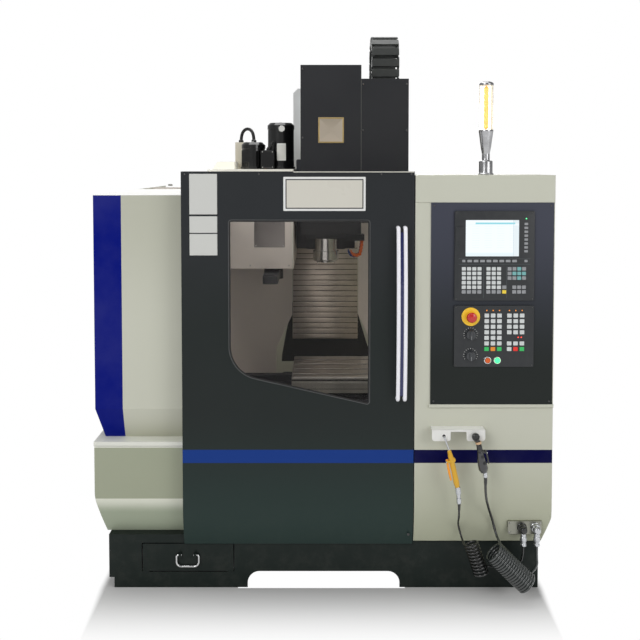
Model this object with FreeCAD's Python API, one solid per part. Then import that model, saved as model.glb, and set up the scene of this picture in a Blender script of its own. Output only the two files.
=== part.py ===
import FreeCAD, Part
import math
import os

# A small vertical machining center. Millimetres, +Z up, +X to the operator's right, -Y to the
# operator. The origin is on the floor under the middle of the cabin.

V = FreeCAD.Vector
os.makedirs("parts", exist_ok=True)

# ---------------------------------------------------------------- driving dimensions
# cabin
HALF_WIDTH = 900.0          # middle of the cabin to the outside of a side panel
FRONT_Y = -895.0            # outer face of the sliding door and of the right cabinet
CABIN_REAR_Y = 675.0        # rear edge of the side panels
REAR_Y = 950.0              # outer face of the rear electrical cabinet
SHEET = 3.0                 # sheet metal
RUNNING_GAP = 0.4           # between pieces that slide on each other
SHAFT_GAP = 0.05            # radial play of a shaft in its hole
DOOR_GAP = 3.0              # door edge to the right cabinet
# inward sweep at the foot of the front panels
SWEEP_TOP_Z = 350.0
SWEEP_FOOT_Z = 180.0
SWEEP_DEPTH = 30.0
# base
SKIRT_TOP_Z = 213.0
SKIRT_SETBACK = 40.0
SKIRT_LEFT_X = -840.0
SKIRT_RIGHT_X = 857.0
SKIRT_STEP = 20.0           # the left lower edge stands back by this
SKIRT_STEP_Z = 41.0
NOTCH_LEFT_X = -292.0
NOTCH_RIGHT_X = 309.0
NOTCH_HEIGHT = 65.0
NOTCH_CORNER = 47.0
# chip drawer
DRAWER_LEFT_X = -711.0
DRAWER_RIGHT_X = -345.0
DRAWER_BOTTOM_Z = 61.0
DRAWER_TOP_Z = 179.0
DRAWER_LENGTH = 455.0
DRAWER_GAP = 4.0
BAIL_WIDTH = 96.0
BAIL_DROP = 46.0
BAIL_ROD = 8.0
BAIL_TOP_Z = 136.0
BAIL_BOSS_X = 30.0          # middle of the handle to a boss
BAIL_BOSS = 10.0
BAIL_CORNER = 19.0          # bend of the grip's lower corners
BAIL_SHOULDER = 8.0         # bend at the upper corners
# sliding door
DOOR_LEFT_X = -540.0
DOOR_RIGHT_X = 358.0
DOOR_BOTTOM_Z = 180.0
DOOR_TOP_Z = 1647.0
DOOR_DEPTH = 36.5
WINDOW_LEFT_X = -355.0
WINDOW_RIGHT_X = 184.0
WINDOW_TOP_Z = 1458.0
WINDOW_LEFT_Z = 869.0
WINDOW_RIGHT_Z = 746.0
WINDOW_BEND = 126.0
GLASS = 5.0
GLASS_LAP = 18.0
HANDLE_X = 307.0
HANDLE_BOTTOM_Z = 762.0
HANDLE_TOP_Z = 1439.0
HANDLE_BAR = 15.0
HANDLE_SPACING = 27.0
HANDLE_REACH = 55.0
# fixed front panels
PANEL_SETBACK = 60.0        # lower front panel behind the door face
LEFT_SETBACK = 80.0         # upper left panel behind the door face
JAMB_X = -500.0             # left side of the door opening
LEFT_TOP_Z = 1554.0
LEFT_BEND_Z = 702.0
LEFT_REAR_Y = -20.0
RIM_Z = 579.0
RIM_DROP = 16.0
LEFT_TAPER = 45.0
RIGHT_BOTTOM_Z = 195.0
RIGHT_TOP_Z = 1633.0
RIGHT_DEPTH = 255.0
RIGHT_TAPER_Z = 295.0
RIGHT_TAPER = 35.0
HEADER_Z = 1528.0
SIDE_TOP_Z = 1600.0
# operator panel
PLATE_LEFT_X = 421.0
PLATE_RIGHT_X = 893.0
PLATE_BOTTOM_Z = 746.0
PLATE_THICK = 4.0
BEZEL_LEFT_X = 510.0
BEZEL_RIGHT_X = 817.0
BEZEL_THICK = 8.0
DISPLAY_BOTTOM_Z = 1151.0
DISPLAY_TOP_Z = 1496.0
KEYPAD_BOTTOM_Z = 894.0
KEYPAD_TOP_Z = 1132.0
SCREEN_X = 655.0
SCREEN_Z = 1391.5
SCREEN_WIDTH = 204.0
SCREEN_HEIGHT = 139.0
KEY_RISE = 2.0
SWITCH_X = 574.0
ESTOP_Z = 1089.0
ESTOP_DIAMETER = 40.0
ESTOP_TRAVEL = 4.0
ESTOP_DISC = 71.0
ESTOP_SHAFT = 16.0
KNOB_SHAFT = 6.0
BUTTON_SHAFT = 14.0
KNOB_DIAMETER = 40.0
KNOB_HIGH_Z = 1020.0
KNOB_LOW_Z = 939.0
BUTTON_Z = 920.0
START_X = 677.0
STOP_X = 640.0
BUTTON_DIAMETER = 20.0
# signal light
BEACON_X = 660.0
BEACON_Y = -745.0
BEACON_BASE = 62.0
BEACON_LENS = 58.0
LENS_BOTTOM_Z = 1813.0
LENS_TOP_Z = 1990.0
# castings
AXIS_X = 22.0               # middle of the column and of the spindle
SPINDLE_Y = -95.0
BED_HALF_WIDTH = 330.0
BED_FRONT_Y = -700.0
BED_BOTTOM_Z = 60.0
BED_TOP_Z = 430.0
CASTING_WALL = 25.0
Y_WAY_SPACING = 400.0
Y_WAY_WIDTH = 60.0
Y_WAY_HEIGHT = 25.0
COLUMN_HALF_WIDTH = 170.0
COLUMN_FRONT_Y = 335.0
COLUMN_TOP_Z = 2080.0
COLUMN_FRONT_WALL = 95.0
Z_WAY_SPACING = 220.0
Z_WAY_WIDTH = 40.0
Z_WAY_HEIGHT = 22.0
SCREW_POCKET = 110.0
FOOT_DIAMETER = 90.0
# saddle and table
SADDLE_HALF_LENGTH = 420.0
SADDLE_FRONT_Y = -470.0
SADDLE_REAR_Y = -100.0
SADDLE_TOP_Z = 640.0
TABLE_X = 220.0             # middle of the table as photographed
TABLE_LENGTH = 700.0
TABLE_WIDTH = 400.0
TABLE_Y = -285.0
TABLE_BOTTOM_Z = 672.0
TABLE_TOP_Z = 740.0
X_WAY_SPACING = 260.0
X_WAY_WIDTH = 40.0
T_SLOT_COUNT = 4
T_SLOT_PITCH = 90.0
T_SLOT_NECK = 14.0
T_SLOT_WIDTH = 24.0
T_SLOT_DEPTH = 26.0
T_SLOT_FOOT = 11.0
# ball screws and motors
SCREW_DIAMETER = 32.0
X_SCREW_DIAMETER = 25.0
X_SCREW_Z = 618.0
Y_SCREW_DROP = 30.0         # saddle screw below the top of the bed
Z_SCREW_Y = 352.0
MOTOR_SIZE = 90.0
MOTOR_LENGTH = 98.0
# head
HEAD_HALF_WIDTH = 95.0
HEAD_FRONT_Y = -170.0
HEAD_REAR_Y = 312.0
HEAD_BOTTOM_Z = 1259.0
HEAD_TOP_Z = 1700.0
CARTRIDGE_DIAMETER = 125.0
CARTRIDGE_SLEEVE = 110.0
CARTRIDGE_BOTTOM_Z = 1212.0
SPINDLE_DIAMETER = 88.0
SPINDLE_NOSE_Z = 1205.0
TAPER_GAUGE = 44.45
TAPER_DEPTH = 65.4
DRAWBAR_BORE = 17.0
COVER_LEFT_X = -97.0
COVER_RIGHT_X = 187.0
COVER_FRONT_Y = -205.0
COVER_REAR_Y = 180.0
COVER_BOTTOM_Z = 1347.0
COVER_TOP_Z = 2139.0
SIDE_COVER_RIGHT_X = 409.0
SIDE_COVER_REAR_Y = 110.0
SIDE_COVER_TOP_Z = 2075.0
SIDE_COVER_BOTTOM_Z = 1400.0
# cable chain
CHAIN_X = 320.0
CHAIN_WIDTH = 137.0
CHAIN_RADIUS = 100.0
CHAIN_HEIGHT = 44.0
CHAIN_PITCH = 52.0
CHAIN_TOP_Z = 2325.0
CHAIN_Y = 155.0
CHAIN_FRONT_Z = 1745.0
CHAIN_REAR_Z = 1850.0
TROUGH_BOTTOM_Z = 1650.0
TROUGH_TOP_Z = 2000.0
# way covers
WAY_COVER_LEFT_X = -151.0
WAY_COVER_RIGHT_X = 195.0
WAY_COVER_BOTTOM_Z = 744.0
WAY_COVER_PITCH = 23.0
WAY_COVER_FRONT_Y = 296.0
BELLOWS_HALF_WIDTH = 235.0
BELLOWS_TOP_Z = 560.0
BELLOWS_PLEATS = 14
PLEAT_DEPTH = 16.0
# cabin inner walls
BACK_WALL_Y = 312.0
SLOT_MARGIN = 4.0
SLOT_FLARE_Z = 870.0
SLOT_FLARE = 85.0
PAN_LIP = 20.0
PAN_GAP = 5.0
# tool changer
ATC_LEFT_X = -527.0
ATC_RIGHT_X = -129.0
ATC_FRONT_Y = -250.0
ATC_REAR_Y = 290.0
ATC_BOTTOM_Z = 1190.0
ATC_TOP_Z = 1652.0
HOOD_TOP_Z = 1688.0
HOOD_RIGHT_X = -420.0
HOOD_SLANT = 24.0           # lean of the hood's left side
ARM_X = -230.0
ARM_BOTTOM_Z = 1125.0
ARM_THICK = 60.0
ARM_SHAFT = 40.0
ARM_SLEEVE = 90.0
SLEEVE_BOTTOM_Z = 1420.0
SLEEVE_TOP_Z = 1600.0
TOOL_POTS = 16
POT_RING = 170.0
POT_DIAMETER = 58.0
MAGAZINE_Y = 20.0
MAGAZINE_Z = 1425.0
MAGAZINE_RADIUS = 205.0
TALL_MOTOR_X = -201.0
TALL_MOTOR_DIAMETER = 130.0
TALL_MOTOR_TOP_Z = 1881.0
SHORT_MOTOR_X = -338.0
SHORT_MOTOR_DIAMETER = 115.0
SHORT_MOTOR_TOP_Z = 1785.0
DECK_Y = 55.0
JUNCTION_LEFT_X = -437.0
JUNCTION_RIGHT_X = -315.0
JUNCTION_FRONT_Y = 124.0
JUNCTION_REAR_Y = 182.0
JUNCTION_TOP_Z = 1788.0
TERMINAL_TOP_Z = 1745.0
CONDUIT_DIAMETER = 16.0
# rear cabinet
REAR_HALF_WIDTH = 600.0
REAR_BOTTOM_Z = 300.0
REAR_TOP_Z = 1600.0
REAR_DOOR_THICK = 25.0
# wash-down guns
BRACKET_LEFT_X = 422.0
BRACKET_RIGHT_X = 626.0
BRACKET_TOP_Z = 660.0
BRACKET_REACH = 50.0
BRACKET_LOBE = 72.0         # width of each lobe of the bracket
HOOK_Z = 618.0              # nozzle stub in the bracket
HOOK_PLAY = 0.8             # radial play of that stub in its hole
AIR_NOZZLE = 8.0
WATER_NOZZLE = 10.0
AIR_GUN_X = 468.0
WATER_GUN_X = 592.0
GUN_CLEARANCE = 16.0        # middle of a gun in front of the bracket
AIR_HOSE_DIAMETER = 8.0
WATER_HOSE_DIAMETER = 10.0
AIR_CURLS = 9.5
AIR_CURL_RADIUS = 26.0
WATER_CURLS = 16.75
WATER_CURL_RADIUS = 39.0
COUPLING_Z = 262.0
COUPLING_Y = -926.0
COUPLING_REACH = 26.0
AIR_COUPLING_X = 780.0
WATER_COUPLING_X = 832.0

# ---------------------------------------------------------------- places worked out from them
PANEL_Y = FRONT_Y + PANEL_SETBACK
SKIRT_Y = FRONT_Y + SKIRT_SETBACK
LEFT_Y = FRONT_Y + LEFT_SETBACK
DOOR_BACK_Y = FRONT_Y + DOOR_DEPTH
RIGHT_X = DOOR_RIGHT_X + DOOR_GAP
RIGHT_BACK_Y = FRONT_Y + RIGHT_DEPTH
PLATE_Y = FRONT_Y - PLATE_THICK
BEZEL_Y = PLATE_Y - BEZEL_THICK
COLUMN_REAR_Y = CABIN_REAR_Y
PAN_Z = BED_TOP_Z
BRACKET_Y = FRONT_Y - BRACKET_REACH
GUN_Y = BRACKET_Y - GUN_CLEARANCE
Y_SCREW_Z = BED_TOP_Z - Y_SCREW_DROP
SADDLE_BOTTOM_Z = BED_TOP_Z + Y_WAY_HEIGHT + RUNNING_GAP
SWEEP_HEIGHT = SWEEP_TOP_Z - SWEEP_FOOT_Z
SWEEP_RADIUS = (SWEEP_HEIGHT ** 2 + SWEEP_DEPTH ** 2) / (2 * SWEEP_DEPTH)


# ---------------------------------------------------------------- helpers
def box(x0, x1, y0, y1, z0, z1):
    return Part.makeBox(x1 - x0, y1 - y0, z1 - z0, V(x0, y0, z0))


def rod(start, end, diameter, end_diameter=None):
    """A round bar, or a cone when the end has its own diameter, between two points."""
    start = V(*start)
    along = V(*end) - start
    if end_diameter is None:
        return Part.makeCylinder(diameter / 2, along.Length, start, along)
    return Part.makeCone(diameter / 2, end_diameter / 2, along.Length, start, along)


def outline(points, place):
    """A closed wire through corners (u, v) or (u, v, radius), put in space by place(u, v)."""
    corners = [(p[0], p[1], p[2] if len(p) > 2 else 0.0) for p in points]
    edges = []
    stops = []
    for i, (u, v, radius) in enumerate(corners):
        here = V(u, v, 0)
        before = V(*corners[i - 1][:2], 0) - here
        after = V(*corners[(i + 1) % len(corners)][:2], 0) - here
        before.normalize()
        after.normalize()
        if radius == 0:
            stops.append((here, here, here))
            continue
        half = before.getAngle(after) / 2
        reach = radius / math.tan(half)
        inward = before + after
        inward.normalize()
        middle = here + inward * (radius / math.sin(half) - radius)
        stops.append((here + before * reach, middle, here + after * reach))
    for i, (start, middle, end) in enumerate(stops):
        following = stops[(i + 1) % len(stops)][0]
        if start.distanceToPoint(end) > 1e-6:
            arc_points = [place(p.x, p.y) for p in (start, middle, end)]
            edges.append(Part.Arc(*arc_points).toShape())
        if end.distanceToPoint(following) > 1e-6:
            edges.append(Part.makeLine(place(end.x, end.y), place(following.x, following.y)))
    return Part.Wire(edges)


def prism_y(points, y0, y1):
    """Outline in X and Z, drawn out along Y."""
    face = Part.Face(outline(points, lambda u, v: V(u, y0, v)))
    return face.extrude(V(0, y1 - y0, 0))


def prism_x(points, x0, x1):
    """Outline in Y and Z, drawn out along X."""
    face = Part.Face(outline(points, lambda u, v: V(x0, u, v)))
    return face.extrude(V(x1 - x0, 0, 0))


def prism_z(points, z0, z1):
    """Outline in X and Y, drawn out along Z."""
    face = Part.Face(outline(points, lambda u, v: V(u, v, z0)))
    return face.extrude(V(0, 0, z1 - z0))


def rectangle(u0, u1, v0, v1, radius=0.0):
    return [(u0, v0, radius), (u1, v0, radius), (u1, v1, radius), (u0, v1, radius)]


def fused(shapes):
    whole = shapes[0].fuse(shapes[1:]) if len(shapes) > 1 else shapes[0]
    return whole.removeSplitter()


def turned(points, x, y):
    """A solid of revolution about the vertical line x, y from (radius, z) corners."""
    corners = [V(x + r, y, z) for r, z in points]
    wire = Part.makePolygon(corners + corners[:1])
    return Part.Face(wire).revolve(V(x, y, 0), V(0, 0, 1), 360)


def sweep_shift(z):
    """How far the swept foot of a front panel stands back at height z."""
    drop = max(0.0, SWEEP_TOP_Z - z)
    return SWEEP_RADIUS - math.sqrt(SWEEP_RADIUS ** 2 - drop ** 2)


def swept_slab(x0, x1, y_front, y_back, z0, z1):
    """A slab with an upright back whose front follows the inward sweep at the foot."""
    middle_z = (SWEEP_TOP_Z + z0) / 2

    def on_face(z):
        return V(x0, y_front + sweep_shift(z), z)

    edges = [
        Part.makeLine(on_face(z1), on_face(SWEEP_TOP_Z)),
        Part.Arc(on_face(SWEEP_TOP_Z), on_face(middle_z), on_face(z0)).toShape(),
        Part.makeLine(on_face(z0), V(x0, y_back, z0)),
        Part.makeLine(V(x0, y_back, z0), V(x0, y_back, z1)),
        Part.makeLine(V(x0, y_back, z1), on_face(z1)),
    ]
    return Part.Face(Part.Wire(edges)).extrude(V(x1 - x0, 0, 0))


# ---------------------------------------------------------------- base
def base_skirt():
    foot_x = SKIRT_LEFT_X + SKIRT_STEP
    left_end = [(SKIRT_LEFT_X, SKIRT_TOP_Z), (SKIRT_LEFT_X, SKIRT_STEP_Z), (foot_x, SKIRT_STEP_Z), (foot_x, 0.0)]
    notch = [
        (NOTCH_LEFT_X, 0.0),
        (NOTCH_LEFT_X, NOTCH_HEIGHT, NOTCH_CORNER),
        (NOTCH_RIGHT_X, NOTCH_HEIGHT, NOTCH_CORNER),
        (NOTCH_RIGHT_X, 0.0),
    ]
    right_end = [(SKIRT_RIGHT_X, 0.0), (SKIRT_RIGHT_X, SKIRT_TOP_Z)]
    front = prism_y(left_end + notch + right_end, SKIRT_Y, SKIRT_Y + SHEET)
    rear = prism_y(left_end + right_end, CABIN_REAR_Y, CABIN_REAR_Y + SHEET)
    mouth = box(DRAWER_LEFT_X, DRAWER_RIGHT_X, SKIRT_Y - 1, SKIRT_Y + SHEET + 1, DRAWER_BOTTOM_Z, DRAWER_TOP_Z)
    walls = [
        front.cut(mouth),
        box(SKIRT_LEFT_X, SKIRT_LEFT_X + SHEET, SKIRT_Y, CABIN_REAR_Y, SKIRT_STEP_Z, SKIRT_TOP_Z),
        box(SKIRT_LEFT_X, foot_x + SHEET, SKIRT_Y, CABIN_REAR_Y, SKIRT_STEP_Z, SKIRT_STEP_Z + SHEET),
        box(foot_x, foot_x + SHEET, SKIRT_Y, CABIN_REAR_Y, 0, SKIRT_STEP_Z + SHEET),
        box(SKIRT_RIGHT_X - SHEET, SKIRT_RIGHT_X, SKIRT_Y, CABIN_REAR_Y, 0, SKIRT_TOP_Z),
        rear,
        box(SKIRT_LEFT_X, SKIRT_RIGHT_X, SKIRT_Y, SKIRT_Y + 60, SKIRT_TOP_Z - SHEET, SKIRT_TOP_Z),
    ]
    runner_top = DRAWER_BOTTOM_Z + DRAWER_GAP - RUNNING_GAP
    for x in (DRAWER_LEFT_X, DRAWER_RIGHT_X - 30):
        walls.append(box(x, x + 30, SKIRT_Y, SKIRT_Y + DRAWER_LENGTH, runner_top - SHEET, runner_top))
        walls.append(box(x + 12, x + 18, SKIRT_Y, SKIRT_Y + DRAWER_LENGTH, 0, runner_top - SHEET))
    return fused(walls)


def chip_drawer():
    x0 = DRAWER_LEFT_X + DRAWER_GAP
    x1 = DRAWER_RIGHT_X - DRAWER_GAP
    z0 = DRAWER_BOTTOM_Z + DRAWER_GAP
    z1 = DRAWER_TOP_Z - DRAWER_GAP
    back = SKIRT_Y + DRAWER_LENGTH
    tray = box(x0, x1, SKIRT_Y, back, z0, z1)
    tray = tray.cut(box(x0 + SHEET, x1 - SHEET, SKIRT_Y + SHEET, back - SHEET, z0 + SHEET, z1 + 1))
    middle = (x0 + x1) / 2
    bosses = [tray]
    for side in (-1, 1):
        x = middle + side * BAIL_BOSS_X
        half = BAIL_BOSS / 2
        boss = box(x - half, x + half, SKIRT_Y - 16, SKIRT_Y, BAIL_TOP_Z - 10, BAIL_TOP_Z + 6)
        bore = rod((x - BAIL_BOSS, SKIRT_Y - 8, BAIL_TOP_Z - 2), (x + BAIL_BOSS, SKIRT_Y - 8, BAIL_TOP_Z - 2),
                   BAIL_ROD + 2 * SHAFT_GAP)
        bosses.append(boss.cut(bore))
    return fused(bosses)


def drawer_handle():
    """Bent round bar: two stubs in the bosses and a hanging grip with round corners."""
    middle = (DRAWER_LEFT_X + DRAWER_RIGHT_X) / 2
    y = SKIRT_Y - 8
    top = BAIL_TOP_Z - 2
    foot = top - BAIL_DROP
    outer = BAIL_WIDTH / 2 - BAIL_ROD / 2
    inner_end = BAIL_BOSS_X - BAIL_BOSS / 2 - 2

    def bend(side, x_turn, z_turn, radius, upper):
        """Quarter circle between an upright and a level run of the bar."""
        mid = radius * (1 - math.sqrt(0.5))
        x = middle + side * outer
        level = V(middle + side * (outer - radius), y, z_turn)
        upright = V(x, y, z_turn - radius if upper else z_turn + radius)
        through = V(x - side * mid, y, z_turn - mid if upper else z_turn + mid)
        ends = [level, through, upright] if x_turn else [upright, through, level]
        return Part.Arc(*ends).toShape()

    pieces = [
        (middle - inner_end, top), (middle - outer + BAIL_SHOULDER, top), bend(-1, True, top, BAIL_SHOULDER, True),
        (middle - outer, top - BAIL_SHOULDER), (middle - outer, foot + BAIL_CORNER),
        bend(-1, False, foot, BAIL_CORNER, False),
        (middle - outer + BAIL_CORNER, foot), (middle + outer - BAIL_CORNER, foot),
        bend(1, True, foot, BAIL_CORNER, False),
        (middle + outer, foot + BAIL_CORNER), (middle + outer, top - BAIL_SHOULDER),
        bend(1, False, top, BAIL_SHOULDER, True),
        (middle + outer - BAIL_SHOULDER, top), (middle + inner_end, top),
    ]
    edges = []
    start = None
    for piece in pieces:
        if not isinstance(piece, tuple):
            edges.append(piece)
            start = None
        elif start is None:
            start = V(piece[0], y, piece[1])
        else:
            edges.append(Part.makeLine(start, V(piece[0], y, piece[1])))
    path = Part.Wire(edges)
    section = Part.Wire(Part.makeCircle(BAIL_ROD / 2, V(middle - inner_end, y, top), V(-1, 0, 0)))
    return path.makePipeShell([section], True, False)


FOOT_PLACES = [(side * (BED_HALF_WIDTH - 60), y) for side in (-1, 1) for y in (-630.0, 0.0, 600.0)]


def bed():
    x0 = AXIS_X - BED_HALF_WIDTH
    x1 = AXIS_X + BED_HALF_WIDTH
    wall = CASTING_WALL
    block = box(x0, x1, BED_FRONT_Y, COLUMN_REAR_Y, BED_BOTTOM_Z, BED_TOP_Z)
    for way in (-1, 1):
        x = AXIS_X + way * Y_WAY_SPACING / 2
        block = block.fuse(box(x - Y_WAY_WIDTH / 2, x + Y_WAY_WIDTH / 2, BED_FRONT_Y, COLUMN_FRONT_Y,
                               BED_TOP_Z, BED_TOP_Z + Y_WAY_HEIGHT))
    block = block.cut(box(AXIS_X - 120, AXIS_X + 120, BED_FRONT_Y + wall, COLUMN_FRONT_Y - wall,
                          BED_TOP_Z - 90, BED_TOP_Z + 1))
    core_top = BED_TOP_Z - 90 - wall
    cores = [(BED_FRONT_Y + wall, -200.0), (-200.0 + wall, 300.0), (300.0 + wall, COLUMN_REAR_Y - wall)]
    for y0, y1 in cores:
        block = block.cut(box(x0 + wall, x1 - wall, y0, y1, BED_BOTTOM_Z + wall, core_top))
        block = block.cut(box(x0 + 110, x1 - 110, y0 + 20, y1 - 20, BED_BOTTOM_Z - 1, BED_BOTTOM_Z + wall + 1))
    block = block.cut(rod((AXIS_X, BED_FRONT_Y - 1, Y_SCREW_Z), (AXIS_X, BED_FRONT_Y + wall + 1, Y_SCREW_Z),
                          SCREW_DIAMETER + 2 * SHAFT_GAP))
    return block.removeSplitter()


def levelling_feet():
    feet = []
    for dx, y in FOOT_PLACES:
        x = AXIS_X + dx
        radius = FOOT_DIAMETER / 2
        feet.append(turned([(0, 0), (radius, 0), (radius, 14), (22, 24), (22, BED_BOTTOM_Z), (0, BED_BOTTOM_Z)],
                           x, y))
    return Part.makeCompound(feet)


# ---------------------------------------------------------------- column, saddle and table
def column():
    x0 = AXIS_X - COLUMN_HALF_WIDTH
    x1 = AXIS_X + COLUMN_HALF_WIDTH
    chamfer = 24.0
    block = prism_y(
        [(x0, BED_TOP_Z), (x1, BED_TOP_Z), (x1, COLUMN_TOP_Z - chamfer), (x1 - chamfer, COLUMN_TOP_Z),
         (x0 + chamfer, COLUMN_TOP_Z), (x0, COLUMN_TOP_Z - chamfer)],
        COLUMN_FRONT_Y, COLUMN_REAR_Y)
    wall = CASTING_WALL
    block = block.cut(box(x0 + wall, x1 - wall, COLUMN_FRONT_Y + COLUMN_FRONT_WALL, COLUMN_REAR_Y - wall,
                          BED_TOP_Z - 1, COLUMN_TOP_Z - wall))
    for way in (-1, 1):
        x = AXIS_X + way * Z_WAY_SPACING / 2
        block = block.fuse(box(x - Z_WAY_WIDTH / 2, x + Z_WAY_WIDTH / 2, COLUMN_FRONT_Y - Z_WAY_HEIGHT,
                               COLUMN_FRONT_Y, 800.0, COLUMN_TOP_Z - 60))
    pocket = box(AXIS_X - SCREW_POCKET / 2, AXIS_X + SCREW_POCKET / 2, COLUMN_FRONT_Y - 1, COLUMN_FRONT_Y + 70,
                 800.0, COLUMN_TOP_Z - 30)
    bore = rod((AXIS_X, Z_SCREW_Y, COLUMN_TOP_Z - 40), (AXIS_X, Z_SCREW_Y, COLUMN_TOP_Z + 1),
               SCREW_DIAMETER + 2 * SHAFT_GAP)
    return block.cut([pocket, bore]).removeSplitter()


def saddle():
    x0 = AXIS_X - SADDLE_HALF_LENGTH
    x1 = AXIS_X + SADDLE_HALF_LENGTH
    block = box(x0, x1, SADDLE_FRONT_Y, SADDLE_REAR_Y, SADDLE_BOTTOM_Z, SADDLE_TOP_Z)
    shoulder = 250.0
    for side in (-1, 1):
        near = AXIS_X + side * shoulder
        far = AXIS_X + side * (SADDLE_HALF_LENGTH + 1)
        block = block.cut(box(min(near, far), max(near, far), SADDLE_FRONT_Y - 1, SADDLE_REAR_Y + 1,
                              SADDLE_BOTTOM_Z - 1, SADDLE_BOTTOM_Z + 75))
        y = TABLE_Y + side * X_WAY_SPACING / 2
        block = block.fuse(box(x0, x1, y - X_WAY_WIDTH / 2, y + X_WAY_WIDTH / 2, SADDLE_TOP_Z,
                               TABLE_BOTTOM_Z - RUNNING_GAP))
    wall = CASTING_WALL
    block = block.cut(box(x0 + wall, x1 - wall, TABLE_Y - 42, TABLE_Y + 42, 575.0, SADDLE_TOP_Z + 1))
    bore = rod((x0 - 1, TABLE_Y, X_SCREW_Z), (x1 + 1, TABLE_Y, X_SCREW_Z), X_SCREW_DIAMETER + 2 * SHAFT_GAP)
    nut = box(AXIS_X - 38, AXIS_X + 38, TABLE_Y - 45, TABLE_Y + 45, Y_SCREW_Z - 38, SADDLE_BOTTOM_Z + 1)
    nut_bore = rod((AXIS_X, TABLE_Y - 50, Y_SCREW_Z), (AXIS_X, TABLE_Y + 50, Y_SCREW_Z),
                   SCREW_DIAMETER + 2 * SHAFT_GAP)
    return block.cut(bore).fuse(nut.cut(nut_bore)).removeSplitter()


def table():
    x0 = TABLE_X - TABLE_LENGTH / 2
    x1 = TABLE_X + TABLE_LENGTH / 2
    top = box(x0, x1, TABLE_Y - TABLE_WIDTH / 2, TABLE_Y + TABLE_WIDTH / 2, TABLE_BOTTOM_Z, TABLE_TOP_Z)
    slots = []
    for i in range(T_SLOT_COUNT):
        y = TABLE_Y + (i - (T_SLOT_COUNT - 1) / 2) * T_SLOT_PITCH
        z = TABLE_TOP_Z - T_SLOT_DEPTH
        slots.append(box(x0 - 1, x1 + 1, y - T_SLOT_NECK / 2, y + T_SLOT_NECK / 2, z, TABLE_TOP_Z + 1))
        slots.append(box(x0 - 1, x1 + 1, y - T_SLOT_WIDTH / 2, y + T_SLOT_WIDTH / 2, z, z + T_SLOT_FOOT))
    gutter = 8.0
    for edge in (-1, 1):
        y = TABLE_Y + edge * (TABLE_WIDTH / 2 - 12)
        slots.append(box(x0 + 12, x1 - 12, y - 5, y + 5, TABLE_TOP_Z - gutter, TABLE_TOP_Z + 1))
    nut = box(TABLE_X - 40, TABLE_X + 40, TABLE_Y - 32, TABLE_Y + 32, X_SCREW_Z - 32, TABLE_BOTTOM_Z + 1)
    bore = rod((TABLE_X - 50, TABLE_Y, X_SCREW_Z), (TABLE_X + 50, TABLE_Y, X_SCREW_Z),
               X_SCREW_DIAMETER + 2 * SHAFT_GAP)
    return top.cut(slots).fuse(nut.cut(bore)).removeSplitter()


def x_ballscrew():
    reach = SADDLE_HALF_LENGTH
    return rod((AXIS_X - reach, TABLE_Y, X_SCREW_Z), (AXIS_X + reach, TABLE_Y, X_SCREW_Z), X_SCREW_DIAMETER)


def y_ballscrew():
    return rod((AXIS_X, BED_FRONT_Y, Y_SCREW_Z), (AXIS_X, COLUMN_FRONT_Y - CASTING_WALL - RUNNING_GAP, Y_SCREW_Z),
               SCREW_DIAMETER)


def z_ballscrew():
    return rod((AXIS_X, Z_SCREW_Y, 800.0 + RUNNING_GAP), (AXIS_X, Z_SCREW_Y, COLUMN_TOP_Z), SCREW_DIAMETER)


def servo_motor(x, y, z, axis):
    """A square servo motor with its flange at the point and its body away along the axis."""
    half = MOTOR_SIZE / 2
    flange = box(-half, half, -half, half, RUNNING_GAP, 14.0)
    body = prism_z(rectangle(-half + 5, half - 5, -half + 5, half - 5, 12.0), 14.0, MOTOR_LENGTH - 24)
    cap = prism_z(rectangle(-half + 12, half - 12, -half + 12, half - 12, 10.0), MOTOR_LENGTH - 24, MOTOR_LENGTH)
    plug = box(-12, 12, half - 12, half + 8, MOTOR_LENGTH - 22, MOTOR_LENGTH - 2)
    motor = fused([flange, body, cap, plug])
    motor.Placement = FreeCAD.Placement(V(x, y, z), FreeCAD.Rotation(V(0, 0, 1), V(*axis)))
    return motor


def axis_motors():
    return Part.makeCompound([
        servo_motor(AXIS_X, BED_FRONT_Y, Y_SCREW_Z, (0, -1, 0)),
        servo_motor(AXIS_X, Z_SCREW_Y, COLUMN_TOP_Z, (0, 0, 1)),
    ])


def x_motor():
    return servo_motor(AXIS_X + SADDLE_HALF_LENGTH, TABLE_Y, X_SCREW_Z, (1, 0, 0))


# ---------------------------------------------------------------- head
def headstock():
    x0 = AXIS_X - HEAD_HALF_WIDTH
    x1 = AXIS_X + HEAD_HALF_WIDTH
    shoulder = COVER_REAR_Y + 5
    nose = box(x0, x1, HEAD_FRONT_Y, shoulder, HEAD_BOTTOM_Z, HEAD_TOP_Z)
    carriage = box(AXIS_X - 145, AXIS_X + 145, shoulder, HEAD_REAR_Y - RUNNING_GAP, HEAD_BOTTOM_Z, HEAD_TOP_Z)
    block = nose.fuse(carriage)
    block = block.cut(box(x0 + 30, x1 - 30, -10.0, 250.0, HEAD_BOTTOM_Z + 60, HEAD_TOP_Z + 1))
    bore = rod((AXIS_X, SPINDLE_Y, HEAD_BOTTOM_Z - 1), (AXIS_X, SPINDLE_Y, HEAD_TOP_Z + 1), CARTRIDGE_SLEEVE)
    nut = box(AXIS_X - 34, AXIS_X + 34, HEAD_REAR_Y - 2, Z_SCREW_Y + 28, 1300.0, 1380.0)
    nut_bore = rod((AXIS_X, Z_SCREW_Y, 1290.0), (AXIS_X, Z_SCREW_Y, 1390.0), SCREW_DIAMETER + 2 * SHAFT_GAP)
    return block.cut(bore).fuse(nut.cut(nut_bore)).removeSplitter()


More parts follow.
